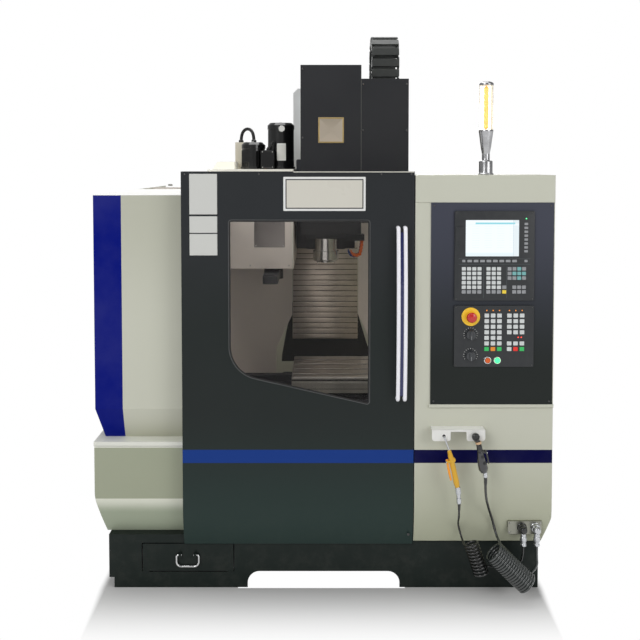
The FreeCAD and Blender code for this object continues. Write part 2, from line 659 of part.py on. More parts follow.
def spindle_cartridge():
    radius = CARTRIDGE_DIAMETER / 2
    sleeve = CARTRIDGE_SLEEVE / 2
    bore = SPINDLE_DIAMETER / 2 + SHAFT_GAP
    ring = turned([(bore, CARTRIDGE_BOTTOM_Z), (radius - 6, CARTRIDGE_BOTTOM_Z), (radius, CARTRIDGE_BOTTOM_Z + 6),
                   (radius, HEAD_BOTTOM_Z), (sleeve, HEAD_BOTTOM_Z), (sleeve, HEAD_TOP_Z - 180),
                   (bore, HEAD_TOP_Z - 180)], AXIS_X, SPINDLE_Y)
    holes = []
    for i in range(8):
        angle = math.radians(45 * i)
        x = AXIS_X + 54 * math.cos(angle)
        y = SPINDLE_Y + 54 * math.sin(angle)
        holes.append(rod((x, y, CARTRIDGE_BOTTOM_Z - 1), (x, y, CARTRIDGE_BOTTOM_Z + 5), 7.0))
    return ring.cut(holes)


def spindle():
    radius = SPINDLE_DIAMETER / 2
    top = HEAD_TOP_Z - RUNNING_GAP
    gauge = TAPER_GAUGE / 2
    taper_end = gauge - TAPER_DEPTH * 7 / 48
    bore = DRAWBAR_BORE / 2
    return turned([(gauge, SPINDLE_NOSE_Z), (radius, SPINDLE_NOSE_Z), (radius, top), (bore, top),
                   (bore, SPINDLE_NOSE_Z + TAPER_DEPTH), (taper_end, SPINDLE_NOSE_Z + TAPER_DEPTH)],
                  AXIS_X, SPINDLE_Y)


def spindle_motor():
    half = 78.0
    body = prism_z(rectangle(AXIS_X - half, AXIS_X + half, SPINDLE_Y - 70, SPINDLE_Y + half, 18.0),
                   HEAD_TOP_Z, 1990.0)
    fan = rod((AXIS_X, SPINDLE_Y, 1990.0), (AXIS_X, SPINDLE_Y, 2050.0), 130.0)
    return fused([body, fan])


def open_shell(x0, x1, y0, y1, z0, z1, open_top):
    """A folded cover open below and behind, and above when open_top is set."""
    top_cut = z1 + 1 if open_top else z1 - SHEET
    inner = box(x0 + SHEET, x1 - SHEET, y0 + SHEET, y1 + 1, z0 - 1, top_cut)
    return box(x0, x1, y0, y1, z0, z1).cut(inner)


def head_cover():
    main = open_shell(COVER_LEFT_X, COVER_RIGHT_X, COVER_FRONT_Y, COVER_REAR_Y, COVER_BOTTOM_Z, COVER_TOP_Z, False)
    side = open_shell(COVER_RIGHT_X, SIDE_COVER_RIGHT_X, COVER_FRONT_Y, SIDE_COVER_REAR_Y,
                      SIDE_COVER_BOTTOM_Z, SIDE_COVER_TOP_Z, True)
    stay = box(AXIS_X - 30, AXIS_X + 30, COVER_FRONT_Y + SHEET, HEAD_FRONT_Y, 1500.0, 1580.0)
    leg_front = CHAIN_Y - CHAIN_RADIUS - CHAIN_HEIGHT / 2
    floor = box(COVER_RIGHT_X + SHEET, SIDE_COVER_RIGHT_X - SHEET, leg_front - 40, SIDE_COVER_REAR_Y,
                CHAIN_FRONT_Z - 230, CHAIN_FRONT_Z - 230 + SHEET)
    guide = box(CHAIN_X - 30, CHAIN_X + 30, leg_front - RUNNING_GAP - SHEET, leg_front - RUNNING_GAP,
                CHAIN_FRONT_Z - 230, SIDE_COVER_TOP_Z - 60)
    return Part.makeCompound([fused([main, stay]), fused([side, floor, guide])])


def coolant_nozzles():
    """Two hoses of ball segments from a block on the head's right side, bent towards the tool."""
    x_face = AXIS_X + HEAD_HALF_WIDTH
    pieces = [box(x_face, x_face + 90, -140.0, -80.0, 1310.0, 1340.0)]
    for i, y in enumerate((-125.0, -95.0)):
        x = x_face + 78.0
        bend = 26.0 + 6 * i
        steps = 11
        previous = V(x, y, 1310.0)
        for k in range(1, steps + 1):
            angle = math.pi * k / steps
            drop = 45.0 if k > 2 else 15.0 * k
            point = V(x - bend * (1 - math.cos(angle)), y, 1310.0 - drop - bend * math.sin(angle))
            pieces.append(rod(previous, point, 16.0, 12.0))
            pieces.append(Part.makeSphere(8.6, point))
            previous = point
    return fused(pieces)


def cable_chain():
    """A U of plastic links: two side bands with a broad bar across every link."""
    x0 = CHAIN_X - CHAIN_WIDTH / 2
    x1 = CHAIN_X + CHAIN_WIDTH / 2
    half = CHAIN_HEIGHT / 2
    outer = CHAIN_RADIUS + half
    inner = CHAIN_RADIUS - half
    crown_z = CHAIN_TOP_Z - outer

    def u_band(x_from, x_to, r_out, r_in):
        legs = [
            box(x_from, x_to, CHAIN_Y - r_out, CHAIN_Y - r_in, CHAIN_FRONT_Z, crown_z),
            box(x_from, x_to, CHAIN_Y + r_in, CHAIN_Y + r_out, CHAIN_REAR_Z, crown_z),
        ]
        bend = rod((x_from, CHAIN_Y, crown_z), (x_to, CHAIN_Y, crown_z), 2 * r_out)
        bend = bend.cut(rod((x_from - 1, CHAIN_Y, crown_z), (x_to + 1, CHAIN_Y, crown_z), 2 * r_in))
        bend = bend.cut(box(x_from - 1, x_to + 1, CHAIN_Y - outer, CHAIN_Y + outer, crown_z - outer, crown_z))
        return fused([bend] + legs)

    bands = [u_band(x0, x0 + 12, outer, inner), u_band(x1 - 12, x1, outer, inner)]
    bars = []
    bar = CHAIN_PITCH * 0.78
    links = int((crown_z - CHAIN_FRONT_Z) / CHAIN_PITCH)
    for i in range(links):
        z = CHAIN_FRONT_Z + CHAIN_PITCH * (i + 0.1)
        bars.append(box(x0, x1, CHAIN_Y - outer, CHAIN_Y - outer + 6, z, z + bar))
        bars.append(box(x0, x1, CHAIN_Y - inner - 6, CHAIN_Y - inner, z, z + bar))
        if z > CHAIN_REAR_Z:
            bars.append(box(x0, x1, CHAIN_Y + outer - 6, CHAIN_Y + outer, z, z + bar))
    turn_links = int(math.pi * CHAIN_RADIUS / CHAIN_PITCH)
    for i in range(turn_links):
        angle = 180.0 * (i + 0.5) / turn_links
        plate = box(x0, x1, outer - 9, outer - 1, -bar * 0.46, bar * 0.46)
        plate.rotate(V(0, 0, 0), V(1, 0, 0), angle)
        plate.translate(V(0, CHAIN_Y, crown_z))
        bars.append(plate)
    return fused(bands + bars)


def chain_trough():
    x0 = CHAIN_X - CHAIN_WIDTH / 2 - RUNNING_GAP
    x1 = CHAIN_X + CHAIN_WIDTH / 2 + RUNNING_GAP
    y0 = CHAIN_Y + CHAIN_RADIUS - CHAIN_HEIGHT / 2 - RUNNING_GAP
    y1 = CHAIN_Y + CHAIN_RADIUS + CHAIN_HEIGHT / 2 + RUNNING_GAP
    outer = box(x0 - SHEET, x1 + SHEET, y0 + 6, y1 + SHEET, TROUGH_BOTTOM_Z, TROUGH_TOP_Z)
    inner = box(x0, x1, y0 - 1, y1, TROUGH_BOTTOM_Z - 1, TROUGH_TOP_Z + 1)
    bracket = box(AXIS_X + COLUMN_HALF_WIDTH, CHAIN_X, y1 + SHEET, y1 + 140, 1760.0, 1840.0)
    return fused([outer.cut(inner), bracket])


def z_way_cover():
    """Overlapping steel slats that fold up under the head; each stands proud of the one below."""
    height = HEAD_BOTTOM_Z - RUNNING_GAP - WAY_COVER_BOTTOM_Z
    count = int(height / WAY_COVER_PITCH)
    pitch = height / count
    y0 = WAY_COVER_FRONT_Y
    edge = [(y0 + 8, WAY_COVER_BOTTOM_Z)]
    for i in range(count):
        z = WAY_COVER_BOTTOM_Z + i * pitch
        edge.append((y0 + 1, z))
        edge.append((y0 + 4, z + pitch))
    edge.append((y0 + 8, WAY_COVER_BOTTOM_Z + height))
    front = prism_x(edge, WAY_COVER_LEFT_X, WAY_COVER_RIGHT_X)
    sides = []
    for x in (WAY_COVER_LEFT_X, WAY_COVER_RIGHT_X - SHEET):
        sides.append(box(x, x + SHEET, y0 + 6, COLUMN_FRONT_Y - 2, WAY_COVER_BOTTOM_Z, HEAD_BOTTOM_Z - RUNNING_GAP))
    return fused([front] + sides)


def y_bellows():
    """Folded rubber cover between the saddle and the column, open below."""
    y0 = SADDLE_REAR_Y + RUNNING_GAP
    y1 = COLUMN_FRONT_Y - RUNNING_GAP
    pitch = (y1 - y0) / BELLOWS_PLEATS
    bottom = BED_TOP_Z + Y_WAY_HEIGHT + 2

    def zigzag(half_width, top, base):
        edge = [(y0, base), (y0, top - PLEAT_DEPTH)]
        for i in range(BELLOWS_PLEATS):
            edge.append((y0 + (i + 0.5) * pitch, top))
            edge.append((y0 + (i + 1) * pitch, top - PLEAT_DEPTH))
        edge.append((y1, base))
        return prism_x(edge, AXIS_X - half_width, AXIS_X + half_width)

    outer = zigzag(BELLOWS_HALF_WIDTH, BELLOWS_TOP_Z, bottom)
    return outer.cut(zigzag(BELLOWS_HALF_WIDTH - 4, BELLOWS_TOP_Z - 4, bottom - 1))


# ---------------------------------------------------------------- cabin
def chip_pan():
    inner = HALF_WIDTH - SHEET
    front = PANEL_Y + SHEET
    rear = BACK_WALL_Y
    well = BED_HALF_WIDTH + PAN_GAP
    x0 = AXIS_X - well
    x1 = AXIS_X + well
    y0 = BED_FRONT_Y - MOTOR_LENGTH - PAN_GAP - 4
    sheet = prism_z([(-inner, front), (DOOR_RIGHT_X, front), (DOOR_RIGHT_X, RIGHT_BACK_Y), (inner, RIGHT_BACK_Y),
                     (inner, rear), (-inner, rear)], PAN_Z, PAN_Z + SHEET)
    rim = box(x0 - SHEET, x1 + SHEET, y0 - SHEET, rear, PAN_Z, PAN_Z + PAN_LIP)
    return fused([sheet, rim]).cut(box(x0, x1, y0, rear + 1, PAN_Z - 1, PAN_Z + PAN_LIP + 1))


def back_wall():
    inner = HALF_WIDTH - SHEET
    slot_left = WAY_COVER_LEFT_X - SLOT_MARGIN
    slot_right = WAY_COVER_RIGHT_X + SLOT_MARGIN
    low = SLOT_FLARE_Z - 180.0
    left = [(-inner, PAN_Z), (slot_left - SLOT_FLARE, PAN_Z), (slot_left - SLOT_FLARE, low),
            (slot_left, SLOT_FLARE_Z), (slot_left, LEFT_TOP_Z), (-inner, LEFT_TOP_Z)]
    right = [(slot_right + SLOT_FLARE, PAN_Z), (inner, PAN_Z), (inner, SIDE_TOP_Z), (slot_right, SIDE_TOP_Z),
             (slot_right, SLOT_FLARE_Z), (slot_right + SLOT_FLARE, low)]
    panels = [prism_y(side, BACK_WALL_Y, BACK_WALL_Y + SHEET) for side in (left, right)]
    panels[0] = panels[0].cut(box(ARM_X - 40, AXIS_X, BACK_WALL_Y - 1, BACK_WALL_Y + SHEET + 1, 1440.0, LEFT_TOP_Z + 1))
    return Part.makeCompound(panels)


def left_panel():
    """The upper left of the cabin: front, side and top folded from one sheet, foot drawn in."""
    def hull(x0, x1, y0, y1, z1, z0):
        bend = LEFT_BEND_Z
        in_front = prism_y([(x0, z1), (x1, z1), (x1, z0), (x0 + 30, z0), (x0, bend)], y0 - 1, y1 + 1)
        in_side = prism_x([(y0, z1), (y0, bend), (y0 + 40, z0), (y1, z0), (y1, z1)], x0 - 1, x1 + 1)
        return in_front.common(in_side)

    outer = hull(-HALF_WIDTH, JAMB_X, LEFT_Y, LEFT_REAR_Y, LEFT_TOP_Z, RIM_Z)
    inner = hull(-HALF_WIDTH + SHEET, JAMB_X + 2, LEFT_Y + SHEET, LEFT_REAR_Y + 2, LEFT_TOP_Z - SHEET, RIM_Z - 1)
    shell = outer.cut(inner)
    return shell.cut(box(ATC_LEFT_X - 2, JAMB_X + 1, ATC_FRONT_Y - 2, LEFT_REAR_Y + 1, ATC_BOTTOM_Z, LEFT_TOP_Z + 1))


def front_lower_panel():
    """Lower front behind the door with the left side folded back; both sweep in at the foot."""
    z0 = SKIRT_TOP_Z

    def hull(x0, x1, y0, y1, z_low, z_high):
        slab = swept_slab(x0 - 1, x1 + 1, y0, y1, z_low, z_high)
        side = prism_y([(x0, z_high), (x1, z_high), (x1, z_low), (x0 + LEFT_TAPER, z_low),
                        (x0, SWEEP_TOP_Z, 150.0)], y0 - 60, y1)
        return slab.common(side)

    outer = hull(-HALF_WIDTH, DOOR_RIGHT_X, PANEL_Y, CABIN_REAR_Y, z0, RIM_Z)
    inner = hull(-HALF_WIDTH + SHEET, DOOR_RIGHT_X + 1, PANEL_Y + SHEET, CABIN_REAR_Y + 1, z0, RIM_Z)
    shell = outer.cut(inner)
    rim = box(-HALF_WIDTH, DOOR_RIGHT_X, PANEL_Y - 8, PANEL_Y, RIM_Z - RIM_DROP, RIM_Z)
    ledge = box(-HALF_WIDTH + SHEET, DOOR_RIGHT_X, PANEL_Y, LEFT_Y + 50, RIM_Z - SHEET, RIM_Z)
    side_ledge = box(-HALF_WIDTH, -HALF_WIDTH + 30, PANEL_Y, BACK_WALL_Y, RIM_Z - SHEET, RIM_Z)
    return fused([shell, rim, ledge, side_ledge])


def side_panels():
    left = box(-HALF_WIDTH, -HALF_WIDTH + SHEET, LEFT_REAR_Y, CABIN_REAR_Y, RIM_Z, LEFT_TOP_Z)
    right = box(HALF_WIDTH - SHEET, HALF_WIDTH, RIGHT_BACK_Y - 40, CABIN_REAR_Y, SKIRT_TOP_Z, SIDE_TOP_Z)
    foot = box(SKIRT_RIGHT_X - 20, HALF_WIDTH - SHEET, RIGHT_BACK_Y, CABIN_REAR_Y, SKIRT_TOP_Z, SKIRT_TOP_Z + SHEET)
    return Part.makeCompound([left, fused([right, foot])])


def cabinet_hull(inset, top):
    """The right cabinet's outer form, drawn in by inset on the front and both sides."""
    x0 = RIGHT_X + inset
    x1 = HALF_WIDTH - SHEET - inset
    z0 = RIGHT_BOTTOM_Z
    slab = swept_slab(x0 - 1, x1 + 1, FRONT_Y + inset, RIGHT_BACK_Y - inset, z0, top)
    sides = prism_y([(x0, top), (x1, top), (x1, RIGHT_TAPER_Z, 60.0), (x1 - RIGHT_TAPER, z0), (x0, z0)],
                    FRONT_Y - 1, RIGHT_BACK_Y)
    return slab.common(sides)


def right_cabinet():
    shell = cabinet_hull(0.0, RIGHT_TOP_Z).cut(cabinet_hull(SHEET, RIGHT_TOP_Z - SHEET))
    behind_skirt = SKIRT_Y - SHEET
    shell = shell.cut(box(RIGHT_X - 1, HALF_WIDTH, behind_skirt, RIGHT_BACK_Y + 1, RIGHT_BOTTOM_Z - 1, SKIRT_TOP_Z))
    header = box(RIGHT_X, HALF_WIDTH - SHEET, FRONT_Y - 3, FRONT_Y, HEADER_Z, RIGHT_TOP_Z)
    lip = box(PLATE_LEFT_X - 6, HALF_WIDTH - SHEET, FRONT_Y - 8, FRONT_Y, PLATE_BOTTOM_Z - 12, PLATE_BOTTOM_Z)
    hole = box(PLATE_LEFT_X + 10, PLATE_RIGHT_X - 10, FRONT_Y - 1, FRONT_Y + SHEET + 1,
               PLATE_BOTTOM_Z + 10, HEADER_Z - 10)
    return fused([shell.cut(hole), header, lip])


def door_header():
    """Fixed portal behind the door: a beam that carries it and a post at the left jamb."""
    top = DOOR_TOP_Z - SHEET - RUNNING_GAP
    beam = box(JAMB_X, RIGHT_X, DOOR_BACK_Y + 8, DOOR_BACK_Y + 48, top - 60, top)
    beam = beam.cut(box(JAMB_X - 1, RIGHT_X + 1, DOOR_BACK_Y + 11, DOOR_BACK_Y + 49, top - 57, top - 3))
    post = box(JAMB_X, JAMB_X + 30, DOOR_BACK_Y + 8, LEFT_Y + 40, RIM_Z, top)
    post = post.cut(box(JAMB_X + 3, JAMB_X + 31, DOOR_BACK_Y + 11, LEFT_Y + 41, RIM_Z - 1, top - 3))
    return fused([beam, post])


WINDOW = [
    (WINDOW_LEFT_X, WINDOW_TOP_Z, 8.0),
    (WINDOW_LEFT_X, WINDOW_LEFT_Z, WINDOW_BEND),
    (WINDOW_RIGHT_X, WINDOW_RIGHT_Z, 8.0),
    (WINDOW_RIGHT_X, WINDOW_TOP_Z, 8.0),
]


def door():
    outer = swept_slab(DOOR_LEFT_X, DOOR_RIGHT_X, FRONT_Y, DOOR_BACK_Y, DOOR_BOTTOM_Z, DOOR_TOP_Z)
    inner = swept_slab(DOOR_LEFT_X + SHEET, DOOR_RIGHT_X - SHEET, FRONT_Y + SHEET, DOOR_BACK_Y + 5,
                       DOOR_BOTTOM_Z + SHEET, DOOR_TOP_Z - SHEET)
    hanger = box(DOOR_LEFT_X, DOOR_RIGHT_X, DOOR_BACK_Y - 1, DOOR_BACK_Y + 40, DOOR_TOP_Z - SHEET, DOOR_TOP_Z)
    shell = fused([outer.cut(inner), hanger])
    return shell.cut(prism_y(WINDOW, FRONT_Y - 1, FRONT_Y + SHEET + 1))


def door_window():
    pane = [
        (WINDOW_LEFT_X - GLASS_LAP, WINDOW_TOP_Z + GLASS_LAP, 20.0),
        (WINDOW_LEFT_X - GLASS_LAP, WINDOW_LEFT_Z - GLASS_LAP, WINDOW_BEND),
        (WINDOW_RIGHT_X + GLASS_LAP, WINDOW_RIGHT_Z - GLASS_LAP, 20.0),
        (WINDOW_RIGHT_X + GLASS_LAP, WINDOW_TOP_Z + GLASS_LAP, 20.0),
    ]
    return prism_y(pane, FRONT_Y + SHEET, FRONT_Y + SHEET + GLASS)


def door_handle():
    """Two round bars bowed away from the door with a flat strip between them."""
    middle = (HANDLE_BOTTOM_Z + HANDLE_TOP_Z) / 2
    end_y = FRONT_Y - HANDLE_REACH * 0.5
    crown_y = FRONT_Y - HANDLE_REACH + HANDLE_BAR / 2
    low = HANDLE_BOTTOM_Z + HANDLE_BAR / 2
    high = HANDLE_TOP_Z - HANDLE_BAR / 2
    pieces = []

    def bow(x, shift):
        return Part.Arc(V(x, end_y + shift, low), V(x, crown_y + shift, middle), V(x, end_y + shift, high))

    for side in (-1, 1):
        x = HANDLE_X + side * HANDLE_SPACING / 2
        path = Part.Wire([bow(x, 0).toShape()])
        arc = bow(x, 0)
        start = arc.toShape().tangentAt(arc.toShape().FirstParameter)
        ring = Part.Wire([Part.Circle(V(x, end_y, low), start, HANDLE_BAR / 2).toShape()])
        pieces.append(path.makePipeShell([ring], True, False))
        for z in (low, high):
            pieces.append(rod((x, end_y, z), (x, FRONT_Y, z), HANDLE_BAR))
            pieces.append(Part.makeSphere(HANDLE_BAR / 2, V(x, end_y, z)))
    x = HANDLE_X - HANDLE_SPACING / 2
    near = bow(x, -2).toShape()
    far = bow(x, 2).toShape()
    ends = [Part.makeLine(V(x, end_y - 2, z), V(x, end_y + 2, z)) for z in (low, high)]
    strip = Part.Face(Part.Wire(Part.__sortEdges__([near, far] + ends)))
    pieces.append(strip.extrude(V(HANDLE_SPACING, 0, 0)))
    return fused(pieces)


# ---------------------------------------------------------------- operator panel
def control_plate():
    plate = box(PLATE_LEFT_X, PLATE_RIGHT_X, PLATE_Y, FRONT_Y, PLATE_BOTTOM_Z, HEADER_Z)
    return plate.cut(switch_holes(PLATE_Y - 1, FRONT_Y + 1))


def switch_holes(y0, y1):
    """Through holes for the shafts of the stop button, both knobs and both push buttons."""
    places = [
        (SWITCH_X, ESTOP_Z, ESTOP_SHAFT),
        (SWITCH_X, KNOB_HIGH_Z, KNOB_SHAFT),
        (SWITCH_X, KNOB_LOW_Z, KNOB_SHAFT),
        (START_X, BUTTON_Z, BUTTON_SHAFT),
        (STOP_X, BUTTON_Z, BUTTON_SHAFT),
    ]
    return [rod((x, y0, z), (x, y1, z), diameter + 2 * SHAFT_GAP) for x, z, diameter in places]


def operator_panels():
    """Bezels of the display, with its glass, and of the keypad, with the yellow disc of the stop button."""
    display = prism_y(rectangle(BEZEL_LEFT_X, BEZEL_RIGHT_X, DISPLAY_BOTTOM_Z, DISPLAY_TOP_Z, 5.0),
                      BEZEL_Y, PLATE_Y)
    display = display.cut(screen_box(1.0, BEZEL_Y - 1, BEZEL_Y + 4))
    flap = box(BEZEL_LEFT_X + 4, BEZEL_LEFT_X + 34, BEZEL_Y - 3, BEZEL_Y, 1367.0, 1436.0)
    keypad = prism_y(rectangle(BEZEL_LEFT_X, BEZEL_RIGHT_X, KEYPAD_BOTTOM_Z, KEYPAD_TOP_Z, 5.0), BEZEL_Y, PLATE_Y)
    disc = rod((SWITCH_X, BEZEL_Y - 3, ESTOP_Z), (SWITCH_X, BEZEL_Y, ESTOP_Z), ESTOP_DISC)
    keypad = fused([keypad, disc]).cut(switch_holes(BEZEL_Y - 4, PLATE_Y + 1))
    glass = screen_box(0.0, BEZEL_Y + 2, BEZEL_Y + 4)
    return Part.makeCompound([fused([display, flap]), keypad, glass])


def screen_box(gap, y0, y1):
    half_width = SCREEN_WIDTH / 2 + gap
    half_height = SCREEN_HEIGHT / 2 + gap
    return box(SCREEN_X - half_width, SCREEN_X + half_width, y0, y1,
               SCREEN_Z - half_height, SCREEN_Z + half_height)


KEY_BLOCKS = [
    # left x, top z, columns, rows, pitch x, pitch z, key width, key height
    (546.0, 1274.0, 4, 6, 20.0, 17.8, 15.5, 13.5),
    (640.5, 1274.0, 3, 6, 20.3, 17.8, 15.5, 13.5),
    (701.5, 1203.0, 1, 2, 20.0, 17.8, 15.5, 13.5),
    (721.5, 1274.0, 4, 3, 18.5, 17.8, 15.0, 13.5),
    (740.0, 1203.0, 3, 2, 18.5, 17.8, 15.0, 13.5),
    (568.0, 1304.0, 8, 1, 24.6, 20.0, 18.0, 9.5),
    (545.5, 1304.0, 1, 1, 20.0, 20.0, 12.0, 9.5),
    (784.0, 1304.0, 1, 1, 20.0, 20.0, 12.0, 9.5),
    (784.0, 1446.5, 1, 8, 20.0, 15.0, 14.0, 9.0),
    (635.5, 1093.5, 3, 7, 24.4, 21.6, 17.5, 15.5),
    (722.5, 1093.5, 3, 4, 24.4, 21.6, 17.5, 15.5),
    (722.5, 985.5, 3, 2, 24.4, 21.6, 17.5, 15.5),
]


def panel_keys():
    keys = []
    for left, top, columns, rows, pitch_x, pitch_z, width, height in KEY_BLOCKS:
        for column_index in range(columns):
            for row in range(rows):
                x = left + column_index * pitch_x
                z = top - row * pitch_z
                keys.append(box(x - width / 2, x + width / 2, BEZEL_Y - KEY_RISE, BEZEL_Y,
                                z - height / 2, z + height / 2))
    return Part.makeCompound(keys)


def estop_button():
    head_y = BEZEL_Y - 3 - ESTOP_TRAVEL - 2
    shaft = rod((SWITCH_X, head_y, ESTOP_Z), (SWITCH_X, FRONT_Y, ESTOP_Z), ESTOP_SHAFT)
    neck = rod((SWITCH_X, head_y - 8, ESTOP_Z), (SWITCH_X, head_y, ESTOP_Z), 26.0)
    cap = rod((SWITCH_X, head_y - 24, ESTOP_Z), (SWITCH_X, head_y - 8, ESTOP_Z), ESTOP_DIAMETER)
    cap = cap.makeFillet(5.0, [cap.Edges[0], cap.Edges[2]])
    return fused([shaft, neck, cap])


def override_knob(z):
    face = BEZEL_Y - RUNNING_GAP
    body = rod((SWITCH_X, face, z), (SWITCH_X, face - 14, z), KNOB_DIAMETER, KNOB_DIAMETER - 5)
    grip = box(SWITCH_X - 5, SWITCH_X + 5, face - 21, face - 12, z - KNOB_DIAMETER / 2 + 2, z + KNOB_DIAMETER / 2 - 4)
    shaft = rod((SWITCH_X, face, z), (SWITCH_X, FRONT_Y, z), KNOB_SHAFT)
    return fused([body, grip, shaft])


def push_button(x):
    head_y = BEZEL_Y - 3
    cap = rod((x, head_y - 4, BUTTON_Z), (x, head_y, BUTTON_Z), BUTTON_DIAMETER)
    shaft = rod((x, head_y, BUTTON_Z), (x, FRONT_Y - 2, BUTTON_Z), BUTTON_SHAFT)
    return fused([cap, shaft])


# ---------------------------------------------------------------- signal light
def beacon_pole():
    base = BEACON_BASE / 2
    lens = BEACON_LENS / 2
    return turned(
        [(0, RIGHT_TOP_Z), (base, RIGHT_TOP_Z), (base, RIGHT_TOP_Z + 51), (base - 3, RIGHT_TOP_Z + 54),
         (15.5, RIGHT_TOP_Z + 54), (15.5, RIGHT_TOP_Z + 84), (lens - 1, LENS_BOTTOM_Z - 8), (lens, LENS_BOTTOM_Z),
         (16, LENS_BOTTOM_Z), (16, LENS_TOP_Z), (lens, LENS_TOP_Z), (lens, LENS_TOP_Z + 8), (lens - 12, LENS_TOP_Z + 16),
         (0, LENS_TOP_Z + 16)],
        BEACON_X, BEACON_Y)


def beacon_lens():
    outer = BEACON_LENS / 2 - 1
    return turned([(outer - 3, LENS_BOTTOM_Z), (outer, LENS_BOTTOM_Z), (outer, LENS_TOP_Z), (outer - 3, LENS_TOP_Z)],
                  BEACON_X, BEACON_Y)


# ---------------------------------------------------------------- tool changer
def atc_cover():
    """Sheet cover, open below for the arm and the tools."""
    shell = box(ATC_LEFT_X, ATC_RIGHT_X, ATC_FRONT_Y, ATC_REAR_Y, ATC_BOTTOM_Z, ATC_TOP_Z)
    shell = shell.cut(box(ATC_LEFT_X + SHEET, ATC_RIGHT_X - SHEET, ATC_FRONT_Y + SHEET, ATC_REAR_Y - SHEET,
                          ATC_BOTTOM_Z - 1, ATC_TOP_Z - SHEET))
    hood = prism_y([(ATC_LEFT_X, ATC_TOP_Z), (ATC_LEFT_X + HOOD_SLANT, HOOD_TOP_Z, 10.0),
                    (HOOD_RIGHT_X, HOOD_TOP_Z), (HOOD_RIGHT_X, ATC_TOP_Z)], -72.0, 100.0)
    bracket = box(ARM_X - 30, AXIS_X - COLUMN_HALF_WIDTH, ATC_REAR_Y - SHEET, COLUMN_FRONT_Y + 110, 1450.0, 1540.0)
    axle = rod((ATC_LEFT_X + SHEET, MAGAZINE_Y, MAGAZINE_Z), (-400.0, MAGAZINE_Y, MAGAZINE_Z), 40.0)
    return fused([shell, hood, bracket, axle])


def magazine_disc():
    disc = rod((-490.0, MAGAZINE_Y, MAGAZINE_Z), (-468.0, MAGAZINE_Y, MAGAZINE_Z), 2 * MAGAZINE_RADIUS)
    hub = rod((-500.0, MAGAZINE_Y, MAGAZINE_Z), (-420.0, MAGAZINE_Y, MAGAZINE_Z), 90.0)
    pots = [disc, hub]
    holes = [rod((-510.0, MAGAZINE_Y, MAGAZINE_Z), (-410.0, MAGAZINE_Y, MAGAZINE_Z), 40.0 + 2 * SHAFT_GAP)]
    for i in range(TOOL_POTS):
        angle = 2 * math.pi * i / TOOL_POTS
        y = MAGAZINE_Y + POT_RING * math.sin(angle)
        z = MAGAZINE_Z - POT_RING * math.cos(angle)
        pots.append(rod((-480.0, y, z), (-400.0, y, z), POT_DIAMETER))
        holes.append(rod((-450.0, y, z), (-399.0, y, z), 30.0, TAPER_GAUGE))
    return fused(pots).cut(holes)


def atc_arm():
    """Double arm with a gripping fork at each end, on the shaft that lifts and turns it."""
    reach = AXIS_X - ARM_X
    z0 = ARM_BOTTOM_Z
    z1 = ARM_BOTTOM_Z + ARM_THICK
    half = 34.0
    body = prism_z(
        [(ARM_X - half, SPINDLE_Y - reach - 36, 12.0), (ARM_X + half, SPINDLE_Y - reach - 36, 12.0),
         (ARM_X + half, SPINDLE_Y + reach + 36, 12.0), (ARM_X - half, SPINDLE_Y + reach + 36, 12.0)],
        z0 + 12, z1 - 12)
    hub = rod((ARM_X, SPINDLE_Y, z0), (ARM_X, SPINDLE_Y, z1), 92.0)
    shaft = rod((ARM_X, SPINDLE_Y, z1), (ARM_X, SPINDLE_Y, ATC_TOP_Z - 30), ARM_SHAFT)
    forks = []
    for side in (-1, 1):
        y = SPINDLE_Y + side * reach
        forks.append(rod((ARM_X, y, z0), (ARM_X, y, z1 + 1), 46.0))
        forks.append(box(min(ARM_X, ARM_X + side * 60), max(ARM_X, ARM_X + side * 60), y - 23, y + 23, z0, z1 + 1))
    return fused([body, hub, shaft]).cut(forks)


def arm_sleeve():
    """The turning sleeve in the cam box that the arm's shaft slides through."""
    ring = rod((ARM_X, SPINDLE_Y, SLEEVE_BOTTOM_Z), (ARM_X, SPINDLE_Y, SLEEVE_TOP_Z), ARM_SLEEVE)
    return ring.cut(rod((ARM_X, SPINDLE_Y, SLEEVE_BOTTOM_Z - 1), (ARM_X, SPINDLE_Y, SLEEVE_TOP_Z + 1),
                        ARM_SHAFT + 2 * SHAFT_GAP))


def atc_drive():
    """Cam box under the deck, the tall arm motor and the short magazine motor on it."""
    cam = box(ARM_X - 70, ARM_X + 70, SPINDLE_Y - 70, 130.0, 1400.0, ATC_TOP_Z - SHEET)
    cam = cam.cut(rod((ARM_X, SPINDLE_Y, 1399.0), (ARM_X, SPINDLE_Y, ATC_TOP_Z), ARM_SLEEVE + 2 * SHAFT_GAP))

    def motor(x, diameter, top, ribs):
        radius = diameter / 2
        body = turned([(0, ATC_TOP_Z), (radius + 6, ATC_TOP_Z), (radius + 6, ATC_TOP_Z + 12), (radius, ATC_TOP_Z + 12),
                       (radius, top - 34), (radius + 2, top - 32), (radius + 2, top - 12), (radius - 10, top),
                       (0, top)], x, DECK_Y)
        fins = []
        for i in range(ribs):
            fin = box(x - 1.5, x + 1.5, DECK_Y - radius - 2.5, DECK_Y - radius + 6, ATC_TOP_Z + 12, top - 40)
            fin.rotate(V(x, DECK_Y, 0), V(0, 0, 1), 360.0 * i / ribs)
            fins.append(fin)
        return fused([body] + fins)

    tall = motor(TALL_MOTOR_X, TALL_MOTOR_DIAMETER, TALL_MOTOR_TOP_Z, 0)
    short = motor(SHORT_MOTOR_X, SHORT_MOTOR_DIAMETER, SHORT_MOTOR_TOP_Z, 24)
    return Part.makeCompound([cam, tall, short])


